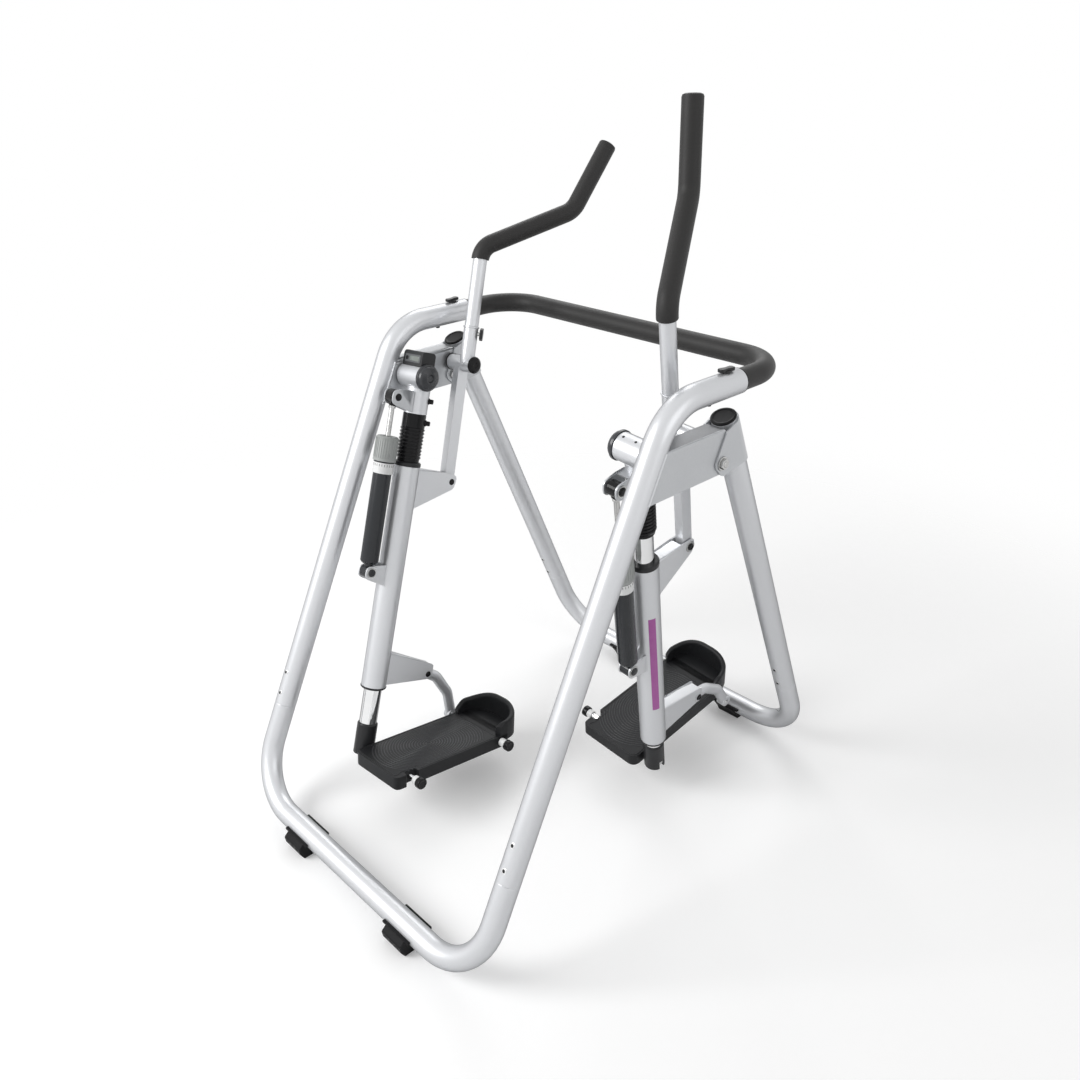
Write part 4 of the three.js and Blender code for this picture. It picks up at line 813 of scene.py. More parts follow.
def addSideFrame(side, places):
    k, b, w = frameTube, sideBracket, bracketWeld
    mesh = bmesh.new()
    place = places["frame"]
    x = k["halfWidth"]
    start = Vector((x, 0, 0)) + rearDirection * (k["seamRun"] + k["seamGap"])
    high = k["cornerZ"]
    corners = [(start, 0), ((x, k["cornerY"], high), k["topBend"]), ((x, k["endY"], high), 0)]
    pipe(mesh, corners, k["radius"], place, 0, k["bore"], k["sides"])
    slope = k["cornerY"] / k["cornerZ"]
    rear = {z: z * slope + b["rearOffset"] for z in (b["top"], b["bottom"])}
    fold = ((b["webEnd"], b["top"]), (rear[b["top"]], b["top"]))
    rows = [
        [rear[b["bottom"]], b["bottom"]], [b["nose"], b["bottom"], b["noseRadius"]],
        [b["nose"], b["shoulder"], 4], *fold,
    ]
    middle = place @ moveTo(x, 0, 0)
    # material 4 is the darker web finish, a painted shade on the bracket's top web
    foldedSheet(mesh, rows, fold, b["halfWidth"], b["sheet"], middle, 1, b["foldRadius"], 4)
    for face in (-1, 1):
        ends = [(x + face * b["halfWidth"], z * slope + w["rise"], z) for z in (b["bottom"], b["top"])]
        seamBead(mesh, ends, w, place)
    for radius, inner, y, z in (
        (axles["hipRadius"], axles["hipInner"], 0, 0),
        (axles["leverRadius"], axles["leverInner"], linkage["leverRun"], linkage["leverRise"]),
    ):
        axle = places["plane"] @ moveTo(0, y, z) @ axisX
        drum(mesh, radius, (-inner, axles["outer"]), (1, 0), axle, 0, 32)
    under = place @ moveTo(x, railNub["y"], k["cornerZ"] - k["radius"] + 0.5)
    drum(mesh, railNub["radius"], (0, -railNub["height"]), (0, 2), under, 2, 24)
    addSeamHoles(mesh, place, rearDirection, 0, 3, 5)
    paints = ["silver", "bracketGrey", "blackPlastic", "holeShadeAndTickBlack", "shadedWebGrey", "chrome"]
    finishSide(mesh, side, "SideFrame", "frame", paints, bevel=0.6)


gusset = {
    "inner": 22.5, "sheet": 3, "top": -6, "topRear": -25, "topRadius": 6, "rear": -73, "rearDrop": -46,
    "low": -62, "lowDrop": -78, "front": 30, "frontDrop": -101, "noseRadius": 15, "steps": 28, "spare": 20,
}


def legTopPlace(place):
    k = frameTube
    return place @ tubeFrame(frontDirection, k["halfWidth"], k["frontTopY"], k["frontTopZ"])


def addFrontLeg(side, places):
    k, g = frameTube, gusset
    mesh = bmesh.new()
    place = places["frame"]
    x = k["halfWidth"]
    start = Vector((x, k["length"], 0)) + frontDirection * (k["seamRun"] + k["seamGap"])
    end = Vector((x, k["frontTopY"], k["frontTopZ"])) - frontDirection * k["capHead"]
    pipe(mesh, [(start, 0), (end, 0)], k["radius"], place, 0, k["bore"], k["sides"])
    # the gusset: a U of sheet round the leg, trimmed to its side view
    arc = [math.pi * t / g["steps"] for t in range(g["steps"] + 1)]
    back = g["rear"] - 2
    plan = []
    for radius, sign, turns in ((g["inner"] + g["sheet"], 1, arc), (g["inner"], -1, arc[::-1])):
        bow = [(radius * math.cos(a), radius * math.sin(a)) for a in turns]
        plan += [(sign * radius, back), *bow, (-sign * radius, back)]
    part = bmesh.new()
    prism(part, plan, g["frontDrop"] - g["spare"], g["spare"], Matrix(), 0, "z")
    view = [
        [g["front"], g["top"]], [g["topRear"], g["top"], g["topRadius"]],
        [g["rear"], g["rearDrop"], g["noseRadius"]], [g["low"], g["lowDrop"], g["noseRadius"]],
        [g["front"], g["frontDrop"]],
    ]
    bmesh.ops.recalc_face_normals(part, faces=part.faces)
    trimToOutline(part, rounded(view, steps=7))
    addPart(mesh, part, legTopPlace(place), 1)
    addSeamHoles(mesh, place, frontDirection, k["length"], 2, 3)
    paints = ["silver", "bracketGrey", "holeShadeAndTickBlack", "chrome"]
    finishSide(mesh, side, "FrontLeg", "front_stand", paints, bevel=0.6)


legCap = {"plug": 19.2, "depth": 18}


def addLegCap(side, places):
    k, r = legCap, frameTube["radius"]
    mesh = bmesh.new()
    rows = [
        [0, -k["depth"]], [k["plug"], -k["depth"], 1], [k["plug"], -2.9], [r, -2.7, 0.4],
        [r + 0.6, 0.6, 1.2], [r - 3, 1.6, 2], [r - 6, 0.2, 2], [0, -0.6],
    ]
    turned(mesh, rows, legTopPlace(places["frame"]))
    finishSide(mesh, side, "LegCap", "front_stand", ["rubber"])


foldBolt = {
    "y": 572.3, "z": 806, "face": 25.8, "washer": 2, "washerRadius": 12.5, "head": 4.8, "corner": 10,
    "nutTurn": 0.3, "headTurn": 0.1, "shank": 5, "tail": 7.8,
}


def addFoldBolt(side, places):
    k = foldBolt
    mesh = bmesh.new()
    spot = places["frame"] @ moveTo(frameTube["halfWidth"], k["y"], k["z"])
    face = k["face"]
    seat = face + k["washer"]
    drum(mesh, k["shank"], (-face - 1, face + k["tail"]), (0, 1.2), spot @ axisX, 0, 28)
    drum(mesh, k["washerRadius"], (face, seat), (0.5, 0.5), spot @ axisX, 0, 40, k["shank"])
    prism(mesh, circle(k["corner"], 6, k["nutTurn"]), seat, seat + k["head"], spot)
    prism(mesh, circle(k["corner"], 6, k["headTurn"]), -face - k["head"], -face, spot)
    finishSide(mesh, side, "FoldBolt", "frame", ["zinc"], bevel=0.7)


railKnob = {
    "y": 599, "length": 33, "width": 15, "waist": 0.62, "low": 2, "thick": 6, "hub": 8.5, "stem": 5,
    "depth": 3.5, "turn": -9,
}


def addRailKnob(side, places):
    k = railKnob
    mesh = bmesh.new()
    top = moveTo(frameTube["halfWidth"], k["y"], frameTube["cornerZ"] + frameTube["radius"])
    spot = places["frame"] @ top @ turnBy(k["turn"], "Z")
    half, wide = k["length"] / 2, k["width"] / 2
    waist = wide * k["waist"]
    rows = [
        [-wide, -half, 7], [wide, -half, 7], [waist, 0, 10],
        [wide, half, 7], [-wide, half, 7], [-waist, 0, 10],
    ]
    prism(mesh, rounded(rows, steps=7), k["low"], k["low"] + k["thick"], spot, 0, "z")
    rows = [
        [0, -k["depth"]], [k["stem"], -k["depth"]], [k["stem"], 0.3], [k["hub"], 0.3, 0.8],
        [k["hub"], k["low"] + 2], [0, k["low"] + 2],
    ]
    turned(mesh, rows, spot, 0, 32)
    body = f"{side}_rail_screw"
    finishSide(mesh, side, "RailKnob", body, ["blackPlastic"], bevel=1.4, segments=3)


foot = {
    "x": 169, "halfBlock": 28, "halfFlange": 38, "reach": 28, "flange": 2.5, "sunk": 4,
    "rows": [
        [-28, 0], [-38.5, -9.3, 6], [-36.2, -23.4, 6], [-28, -37.25, 3], [7, -37.25, 3], [14, -23.4, 5],
        [28, -4.7, 3], [28, 0],
    ],
    "groove": [[-38.4, -16], [-37, -16], [-37, -13.6], [-38.4, -13.6]], "groovePitch": 16, "grooveHalf": 5,
}


def addFoot(side, where, places):
    k = foot
    front = where == "Front"
    mesh = bmesh.new()
    towards = -1 if front else 1
    spot = places["frame"] @ moveTo(k["x"], frameTube["length"] if front else 0, 0)
    block, groove = ([(towards * p.x, p.y) for p in rounded(k[key])] for key in ("rows", "groove"))
    prism(mesh, block, -k["halfBlock"], k["halfBlock"], spot)
    for edge in (-1, 1):
        low, high = sorted((edge * (frameTube["radius"] - k["sunk"]), edge * k["reach"]))
        strap = [(low, -k["flange"]), (high, -k["flange"]), (high, k["flange"]), (low, k["flange"])]
        prism(mesh, strap, -k["halfFlange"], k["halfFlange"], spot)
    # shallow ribs across the back of the block
    for t in (-1, 0, 1):
        middle = t * k["groovePitch"]
        prism(mesh, groove, middle - k["grooveHalf"], middle + k["grooveHalf"], spot)
    body = "front_stand" if front else "frame"
    finishSide(mesh, side, where + "Foot", body, ["rubber"], bevel=1.6, segments=3)


handrail = {
    "frontY": 768, "bend": 84, "insert": 105, "tube": 16, "wall": 2, "foam": 19.7, "foamStart": 1.5,
    "ring": 3.5, "sleeve": 19.45,
}


def railCorners(y):
    x, z = frameTube["halfWidth"], frameTube["cornerZ"]
    front, bend = handrail["frontY"], handrail["bend"]
    return [((-x, y, z), 0), ((-x, front, z), bend), ((x, front, z), bend), ((x, y, z), 0)]


def addHandrail():
    k = handrail
    x, z, endY = frameTube["halfWidth"], frameTube["cornerZ"], frameTube["endY"]
    back = endY - k["insert"]
    mesh = bmesh.new()
    pipe(mesh, railCorners(back), k["tube"], machinePlace, 0, k["tube"] - k["wall"])
    for side in (-1, 1):
        corners = [((side * x, back + 0.5, z), 0), ((side * x, endY, z), 0)]
        pipe(mesh, corners, k["sleeve"], machinePlace, 0, k["tube"] - 0.5)
    finishPiece(mesh, "handrailTube", "handrail", ["handrail_tube"], ["silver"], bevel=0.4)
    mesh = bmesh.new()
    pipe(mesh, railCorners(endY + k["foamStart"]), k["foam"], machinePlace, 0, k["tube"] + 0.3, 44, 3.0)
    grip = finishPiece(mesh, "handrailFoam", "handrail", ["handrail_foam"], ["foam"], bevel=1.2, segments=3)
    for name, side in sideNames.items():
        mesh = bmesh.new()
        bore, r, ring = k["tube"] + 0.4, frameTube["radius"], k["ring"]
        rows = [[bore, 0], [r, 0, 0.8], [r, ring, 0.8], [k["foam"] + 0.2, ring], [bore, ring]]
        turned(mesh, rows, machinePlace @ moveTo(side * x, endY + 0.3, z) @ axisY)
        finishPiece(mesh, f"{name}RailRing", "handrail", [], ["glossPlastic"])


hipSleeve = {
    "radius": 25, "outer": 37, "inner": 29, "bore": 12.9, "stubRadius": 24, "stubBore": 19.3, "stubTop": 16,
    "stubBottom": 75, "earHalf": 13.8, "earSheet": 3, "earRadius": 14, "earRise": 15, "earFoot": 73,
    "webEnd": 40, "holes": (-19, 8), "holeRadius": 2.4, "holeTurn": 12,
}
damper = {
    "run": 59.2, "top": 46.3, "bottom": 409, "rod": 5, "eye": 14, "eyeHalf": 10.4, "neck": 9,
    "pin": 6, "cap": 9, "capHeight": 4, "cylinder": 19, "bore": 15.8, "piston": 15, "collar": 20.5,
    "collarTop": 177, "collarBottom": 202, "cylinderBottom": 391, "pistonDrop": 305, "pistonHeight": 15,
    "neckFoot": 65, "nut": 7.5, "nutFoot": 70, "boreTop": 189.5, "boreStart": 300, "boreBottom": 379,
    "rodBore": 7,
}


# the axes of a leg's tube and of its damper, in the place of the leg or of the slider
def tubeAxis(place):
    return place @ moveTo(0, linkage["offset"], 0)


def damperAxis(place, drop=0):
    return place @ moveTo(0, linkage["offset"] - damper["run"], -drop)


stopBolts = {"drops": [47, 92], "radius": 5, "reach": 12, "turn": 45, "out": 22}


def addHipSleeve(side, places):
    k, d, s = hipSleeve, damper, stopBolts
    mesh = bmesh.new()
    leg, offset = places["leg"], linkage["offset"]
    drum(mesh, k["radius"], (-k["inner"], k["outer"]), (0.8, 0.8), leg @ axisX, 0, 72, k["bore"])
    corners = [((0, 0, -k["stubTop"]), 0), ((0, 0, -k["stubBottom"]), 0)]
    pipe(mesh, corners, k["stubRadius"], tubeAxis(leg), 0, k["stubBore"], 56)
    postBead(mesh, leg, k["stubRadius"], 0, offset, k["radius"], -1, 1.8, 48)
    base = offset - k["stubRadius"] + 3
    rear, top = offset - d["run"] - k["earRadius"], d["top"] - k["earRise"]
    web = (offset - k["webEnd"], -top)
    rows = [
        [base, -k["earFoot"]], [base, -top], [*web], [rear, -top, k["earRadius"]],
        [rear, -d["top"] - k["earRadius"], k["earRadius"]],
    ]
    foldedSheet(mesh, rows, ((base, -top), web), k["earHalf"], k["earSheet"], leg, 1, 3.2)
    # the holes are thin dark discs on the sleeve, their black a painted shade for the hollow inside
    for x in k["holes"]:
        hole = leg @ turnBy(k["holeTurn"], "X") @ moveTo(x, 0, k["radius"] - 0.2)
        drum(mesh, k["holeRadius"], (0, 0.5), (0, 0), hole, 2, 20)
    # capped stop bolts on the front of the stub
    r, reach = s["radius"], s["reach"]
    rows = [[0, 0], [r + 1.5, 0], [r + 1.5, 4, 1], [r, 4.2], [r, reach, 2.5], [0, reach]]
    for drop in s["drops"]:
        spot = leg @ moveTo(0, offset, -drop) @ turnBy(s["turn"], "Z") @ moveTo(0, s["out"], 0) @ axisY
        turned(mesh, rows, spot, 3, 28)
    paints = ["silver", "bracketGrey", "holeShadeAndTickBlack", "glossPlastic"]
    finishSide(mesh, side, "HipSleeve", f"{side}_leg", paints, bevel=0.5)


hipCap = {"plug": 12.3, "radius": 27, "shoulder": 22.5, "dish": 10.5, "dishEdge": 8.2, "button": 6.5}


def addHipCap(side, places):
    k = hipCap
    mesh = bmesh.new()
    face = -hipSleeve["inner"] - 0.3
    rows = [
        [0, face + 6], [k["plug"], face + 6], [k["plug"], face + 0.2], [k["radius"], face + 0.2, 1],
        [k["radius"], face - 6, 1.6], [k["radius"] - 2.5, face - 7, 1.2], [k["shoulder"], face - 13, 6],
        [k["dish"], face - 16.2, 3], [k["dishEdge"], face - 15.4, 1.2], [k["button"], face - 12.2, 2],
        [0, face - 11.6],
    ]
    turned(mesh, rows, places["leg"] @ axisX, 0, 64, 5)
    finishSide(mesh, side, "HipCap", f"{side}_leg", ["satinPlastic"])


chromeTube = {"radius": 19, "bore": 17, "top": 31, "bottom": 780}


def addInnerTube(side, places):
    k, offset = chromeTube, linkage["offset"]
    mesh = bmesh.new()
    corners = [((0, offset, -k["top"]), 0), ((0, offset, -k["bottom"]), 0)]
    pipe(mesh, corners, k["radius"], places["leg"], 0, k["bore"], 64)
    finishSide(mesh, side, "InnerTube", f"{side}_leg", ["chrome"], bevel=0.4)


bumper = {
    "top": 75.3, "plain": 28, "bottom": 175.2, "radius": 24, "base": 23, "bore": 19.4, "pitch": 7.2,
    "rib": 3.2, "ribSunk": 0.6, "ribStart": 4,
}


def addBumper(side, places):
    k = bumper
    mesh = bmesh.new()
    spot = tubeAxis(places["leg"])
    end = k["bottom"] + solveLinkage("left")["slide"] - 1.3
    step = k["top"] + k["plain"]
    rows = [
        [k["bore"], -end], [k["base"], -end, 1], [k["base"], -step - 1], [k["radius"], -step, 0.6],
        [k["radius"], -k["top"] - 1.5, 1.2], [k["radius"] - 1.5, -k["top"]], [k["bore"], -k["top"]],
    ]
    turned(mesh, rows, spot, 0, 64)
    sizes = {
        "Count": int((end - step - k["ribStart"]) // k["pitch"]), "Pitch": -k["pitch"],
        "Radius": k["base"] - k["ribSunk"], "Thickness": k["rib"], "Sides": 56,
    }
    grow(mesh, ribTree, sizes, spot @ moveTo(0, 0, -step - k["ribStart"]), 0, "glossPlastic")
    finishSide(mesh, side, "Bumper", f"{side}_leg", ["glossPlastic"], angle=50)


def washers(mesh, spot, bore, radius, near, far, material):
    for side in (-1, 1):
        drum(mesh, radius, sorted((side * near, side * far)), (0.3, 0.3), spot, material, 36, bore)


def damperPin(mesh, place, drop, material, washer):
    d = damper
    spot = damperAxis(place, drop) @ axisX
    face = hipSleeve["earHalf"] + 0.3
    half = [[d["pin"], face], [d["cap"], face, 0.6], [d["cap"] - 2, face + d["capHeight"], 2]]
    half.append([0, face + d["capHeight"] + 1])
    turned(mesh, [[r, -z, *edge] for r, z, *edge in reversed(half)] + half, spot, material, 36)
    washers(mesh, spot, d["cap"] - 1, d["cap"] + 1.9, face, face + 1.1, washer)


def damperEye(mesh, place, drop, material):
    d = damper
    eye = damperAxis(place, drop) @ axisX
    drum(mesh, d["eye"], (-d["eyeHalf"], d["eyeHalf"]), (2, 2), eye, material, 48)


def addDamperRod(side, places):
    d = damper
    mesh = bmesh.new()
    leg = places["leg"]
    axis = damperAxis(leg)
    damperEye(mesh, leg, d["top"], 1)
    damperPin(mesh, leg, d["top"], 1, 2)
    neck, foot = d["neck"], -d["neckFoot"]
    rows = [[0, -d["top"]], [neck, -d["top"]], [neck, foot + 3, 2], [d["rod"] + 1, foot, 0.5], [0, foot]]
    turned(mesh, rows, axis, 1, 36)
    # the lock nut, then the rod with its piston
    nut, low, high = d["nut"], -d["nutFoot"], foot - 0.2
    turned(mesh, [[0, high], [nut, high, 0.6], [nut, low, 0.6], [0, low]], axis, 2, 6)
    rod, piston, drop = d["rod"], d["piston"], -d["pistonDrop"]
    low = drop - d["pistonHeight"]
    rows = [[0, foot + 5], [rod, foot + 5], [rod, drop], [piston, drop - 1], [piston, low], [0, low]]
    turned(mesh, rows, axis, 0, 40)
    paints = ["zinc", "glossPlastic", "zinc"]
    finishSide(mesh, side, "DamperRod", f"{side}_leg", paints, bevel=0.3)


forkPiece = {
    "radius": 22, "bore": 19.3, "depth": 33, "top": 747.5, "bottom": 817, "slotTop": 796, "slotHalf": 6.6,
    "steps": 18,
}


def addFork(side, places):
    k = forkPiece
    mesh = bmesh.new()
    spot = tubeAxis(places["leg"])
    r, top = k["radius"], -k["top"]
    rows = [
        [0, -k["slotTop"]], [r, -k["slotTop"]], [r, top - 3, 2], [r - 2, top], [k["bore"], top],
        [k["bore"], top - k["depth"]], [0, top - k["depth"]],
    ]
    turned(mesh, rows, spot)
    start = math.asin(k["slotHalf"] / r)
    arc = [start + (math.pi - 2 * start) * t / k["steps"] for t in range(k["steps"] + 1)]
    for face in (-1, 1):
        outline = [(r * math.cos(a), face * r * math.sin(a)) for a in arc]
        prism(mesh, outline, -k["bottom"], -k["slotTop"] + 0.5, spot, 0, "z")
    finishSide(mesh, side, "Fork", f"{side}_leg", ["blackPlastic"], bevel=1.0, segments=3)


rodKnob = {
    "radius": 12, "thick": 12, "centre": 202, "rod": 6, "spacer": 9.2, "rearEnd": 19, "rearSpacer": 183,
}
rodPaints = ["chrome", "whitePlastic", "glossPlastic"]


# a cross rod in material 1 with its spacer in 2 and its knob in 3
def rodWithKnob(mesh, place, end, spacerEnd):
    k = rodKnob
    face = k["centre"] - k["thick"] / 2
    tip = -face - k["thick"]
    axis = place @ axisX
    drum(mesh, k["rod"], (-face - 3, end), (0, 0.8), axis, 1, 32)
    drum(mesh, k["spacer"], (-face, -spacerEnd), (0.8, 0.8), axis, 2, 32, k["rod"])
    r = k["radius"]
    rows = [[0, tip + 1], [6, tip + 1, 1], [8, tip, 1], [r, tip, 2.5], [r, -face, 1.5], [0, -face]]
    turned(mesh, rows, axis, 3, 44)


def addRearRod(side, places):
    mesh = bmesh.new()
    rodWithKnob(mesh, places["rod"], rodKnob["rearEnd"], rodKnob["rearSpacer"])
    finishSide(mesh, side, "RearRod", f"{side}_leg", ["chrome", *rodPaints])


counter = {
    "inner": -28.7, "outer": 33, "halfDepth": 17, "seat": 25.3, "height": 50, "crown": 9, "steps": 12,
    "panel": (6, 26, 6, 42, 2), "glass": (10, 29, 22, 39, 1), "button": (13, 34, 4),
}


# the counter sits on the left hip sleeve only
def addCounter(side, places):
    if side != "left":
        return
    k = counter
    mesh = bmesh.new()
    leg = places["leg"]
    start = math.atan2(math.sqrt(k["seat"] ** 2 - k["halfDepth"] ** 2), k["halfDepth"])
    arc = [start + (math.pi - 2 * start) * t / k["steps"] for t in range(k["steps"] + 1)]
    rows = [[k["seat"] * math.cos(a), k["seat"] * math.sin(a)] for a in arc]
    rows += [[-k["halfDepth"], k["height"], k["crown"]], [k["halfDepth"], k["height"], k["crown"]]]
    prism(mesh, rounded(rows, steps=8), k["inner"], k["outer"], leg)
    # on the rear face: a panel, its screen and a button
    lay = Matrix(((1, 0, 0, 0), (0, 0, -1, 0), (0, 1, 0, 0), (0, 0, 0, 1)))
    back = leg @ moveTo(0, -k["halfDepth"], 0) @ lay
    for key, out, material in (("panel", 0.5, 1), ("glass", 0.9, 2)):
        left, low, right, high, edge = k[key]
        a, b = k["inner"] + left, k["outer"] - right
        rows = [[a, low, edge], [b, low, edge], [b, high, edge], [a, high, edge]]
        prism(mesh, rounded(rows), -0.4, out, back, material, "z")
    right, up, radius = k["button"]
    drum(mesh, radius, (0, 1.6), (0, 0.8), back @ moveTo(k["outer"] - right, up, 0), 3, 28)
    paints = ["blackPlastic", "counterGrey", "screenGlass", "glossPlastic"]
    finishPiece(mesh, "stepCounter", "left_leg", ["step_counter"], paints, bevel=0.9, segments=3)


outerTube = {"radius": 26.8, "bore": 23.3, "top": 183.3, "bottom": 662.6}
upperBracket = {
    "half": 13, "sheet": 2.5, "top": 187, "nose": 136.5, "radius": 15, "foot": 271, "pin": 210, "web": 98,
}
lowerBracket = {
    "half": 13, "sheet": 2.5, "top": 587, "tip": 154, "tipDrop": 626, "pinRun": 142.5, "pinDrop": 646.5,
    "radius": 11.5, "foot": 660,
}
lug = {"half": hipSleeve["earHalf"], "sheet": 3, "top": 393, "foot": 438, "radius": 13}
tubeWeld = {"radius": 1.6, "steps": 14, "wobble": 0.35}


def addOuterTube(side, places):
    k, u, w, d = outerTube, upperBracket, lowerBracket, damper
    mesh = bmesh.new()
    slider, offset = places["slider"], linkage["offset"]
    corners = [((0, offset, -k["bottom"]), 0), ((0, offset, -k["top"]), 0)]
    pipe(mesh, corners, k["radius"], slider, 0, k["bore"], 64)
    base = offset + k["radius"] - 5
    noseTop = u["radius"] - u["pin"]
    web = (u["web"], -u["top"] + (noseTop + u["top"]) * (u["web"] - base) / (u["nose"] - base))
    rows = [
        [base, -u["foot"]], [u["nose"] - u["radius"] / 2, -u["pin"] - u["radius"], u["radius"]],
        [u["nose"], noseTop, u["radius"]], [*web], [base, -u["top"]],
    ]
    foldedSheet(mesh, rows, (web, (base, -u["top"])), u["half"], u["sheet"], slider, 1, 3)
    slope = (w["top"] - w["tipDrop"]) / (w["tip"] - base)
    near = (w["tip"] - 5, -w["top"] + slope * (w["tip"] - 5 - base))
    rows = [
        [base, -w["foot"]], [w["pinRun"], -w["pinDrop"] - w["radius"], 6],
        [w["pinRun"] + w["radius"], -w["pinDrop"], 6], [w["tip"], -w["tipDrop"], 3], [*near],
        [base, -w["top"]],
    ]
    foldedSheet(mesh, rows, (near, (base, -w["top"])), w["half"], w["sheet"], slider, 1, 3)
    rear, inside = offset - d["run"] - lug["radius"], offset - k["radius"] + 5
    rows = [
        [inside, -lug["foot"]], [inside, -lug["top"]], [rear, lug["radius"] - d["bottom"], lug["radius"]],
        [rear, -d["bottom"] - lug["radius"], lug["radius"]],
    ]
    for face in (-1, 1):
        low, high = sorted((face * lug["half"], face * (lug["half"] - lug["sheet"])))
        prism(mesh, rounded(rows), low, high, slider, 1)
    for sheet, sign in ((u, 1), (w, 1), (lug, -1)):
        y = offset + sign * math.sqrt(k["radius"] ** 2 - sheet["half"] ** 2)
        for face in (-1, 1):
            ends = [(face * sheet["half"], y, -sheet[key]) for key in ("top", "foot")]
            seamBead(mesh, ends, tubeWeld, slider)
    if side == "right":
        addStrip(mesh, tubeAxis(slider))
    paints = ["silver", "silver", "labelPurple"]
    finishSide(mesh, side, "OuterTube", f"{side}_slider", paints, bevel=0.5)


strip = {"from": -43, "to": -11, "top": 300, "bottom": 552, "sunk": 0.3, "lift": 0.25, "steps": 14}


# the plain coloured strip along the tube
def addStrip(mesh, place):
    k = strip
    turns = [(k["from"] + (k["to"] - k["from"]) * t / k["steps"]) * degree for t in range(k["steps"] + 1)]
    rings = []
    for radius in (outerTube["radius"] - k["sunk"], outerTube["radius"] + k["lift"]):
        for drop in (k["top"], k["bottom"]):
            corners = [Vector((radius * math.cos(a), radius * math.sin(a), -drop)) for a in turns]
            rings.append([mesh.verts.new(place @ corner) for corner in corners])
    faces = []
    for n, m in ((0, 1), (2, 3), (0, 2), (1, 3)):
        a, b = rings[n], rings[m]
        faces += [mesh.faces.new((a[t], a[t + 1], b[t + 1], b[t])) for t in range(k["steps"])]
    faces += [mesh.faces.new([rings[n][t] for n in (0, 1, 3, 2)]) for t in (0, -1)]
    paint(faces, 2)


# name, radius, flange height, the tube's end and which way is out
bushes = (("TopBush", 28, 9, -outerTube["top"], 1), ("BottomBush", 27.8, 5, -outerTube["bottom"], -1))
bushFit = {"bore": 19.25, "plug": 22.9, "depth": 22, "gap": 0.3}


def addBushes(side, places):
    k = bushFit
    spot = tubeAxis(places["slider"])
    for name, radius, flange, face, away in bushes:
        mesh = bmesh.new()
        end, seat, foot = (face + away * rise for rise in (flange + k["gap"], k["gap"], -k["depth"]))
        rows = [
            [k["bore"], end], [radius - 2.5, end, 1], [radius, face + away * (flange - 2), 1.5],
            [radius, seat, 0.5], [k["plug"], seat], [k["plug"], foot], [k["bore"], foot],
        ]
        turned(mesh, rows, spot, 0, 64)
        finishSide(mesh, side, name, f"{side}_slider", ["blackPlastic"])


scale = {"ticks": 24, "width": 0.9, "depth": 0.5, "height": 5.0, "drop": 8}
axisGap = 0.0001


def addDamperCylinder(side, places):
    d, s = damper, scale
    mesh = bmesh.new()
    slider = places["slider"]
    axis = damperAxis(slider)
    wall, top, low = d["cylinder"], -d["collarTop"], -d["cylinderBottom"]
    bore, rod, roof, end = d["bore"], d["rodBore"], -d["boreTop"], -d["boreBottom"]
    rows = [
        [bore, -d["boreStart"]], [bore, roof], [rod, roof], [rod, top - 1], [wall - 1, top - 1],
        [wall, top - 2], [wall, low + 5, 2], [wall - 4, low, 2], [axisGap, low], [axisGap, end],
        [bore, end],
    ]
    turned(mesh, rows, axis)
    top -= 0.6
    drum(mesh, d["collar"], (-d["collarBottom"], top), (0.8, 0.8), axis, 1, 56, wall - 0.5)
    drum(mesh, d["collar"] + 0.5, (top - 2.4, top + 0.2), (0.6, 0.6), axis, 0, 56, 15)
    ticks = {
        "Count": s["ticks"], "Radius": d["collar"], "Width": s["width"], "Depth": s["depth"],
        "Height": s["height"],
    }
    grow(mesh, knurlTree, ticks, axis @ moveTo(0, 0, -d["collarTop"] - s["drop"]), 2, "holeShadeAndTickBlack")
    damperEye(mesh, slider, d["bottom"], 0)
    drum(mesh, d["neck"], (-d["bottom"], low + 2), (0, 0), axis, 0, 36)
    damperPin(mesh, slider, d["bottom"], 0, 3)
    paints = ["blackPaint", "whitePlastic", "holeShadeAndTickBlack", "zinc"]
    finishSide(mesh, side, "DamperCylinder", f"{side}_slider", paints, bevel=0.3)


dial = {
    "top": 126, "bottom": 176.7, "radius": 22.6, "rim": 0.9, "bore": 6.9, "rimHeight": 5, "ribs": 30,
    "ribWidth": 1.7, "ribDepth": 1.6, "ribStart": 3,
}


def addDial(side, places):
    k = dial
    mesh = bmesh.new()
    axis = damperAxis(places["slider"])
    r, rim, top, low = k["radius"], k["radius"] + k["rim"], -k["top"], -k["bottom"]
    edge = low + k["rimHeight"]
    rows = [
        [k["bore"], low], [rim, low, 0.8], [rim, edge, 0.8], [r, edge + 0.6],
        [r, top - 2.5, 1.5], [r - 3, top, 1.5], [11, top, 1], [10, top - 1.6], [k["bore"], top - 1.6],
    ]
    turned(mesh, rows, axis, 0, 72)
    height = k["bottom"] - k["top"] - k["rimHeight"] - 5
    knurls = {
        "Count": k["ribs"], "Radius": r, "Width": k["ribWidth"], "Depth": k["ribDepth"], "Height": height,
    }
    grow(mesh, knurlTree, knurls, axis @ moveTo(0, 0, top - k["ribStart"] - height / 2), 0, "dialGrey")
    finishSide(mesh, side, "DamperDial", f"{side}_dial", ["dialGrey"], bevel=0.25)


boltHead = {"radius": 8.2, "head": 4, "shank": 4, "washer": 11.2, "socket": 3.4}


def throughBolt(mesh, spot, face, shank, material=0, washer=1):
    k = boltHead
    r, out = k["radius"], face + k["head"]
    rows = [
        [0, -out], [r - 2.5, -out, 1.5], [r, -face, 0.6], [shank, -face], [shank, face], [r, face, 0.6],
        [r - 2.5, out, 1.5], [4, out], [k["socket"], out - 1.4], [0, out - 1.4],
    ]
    turned(mesh, rows, spot @ axisX, material, 36)
    washers(mesh, spot @ axisX, shank, k["washer"], face - 0.25, face + 0.9, washer)


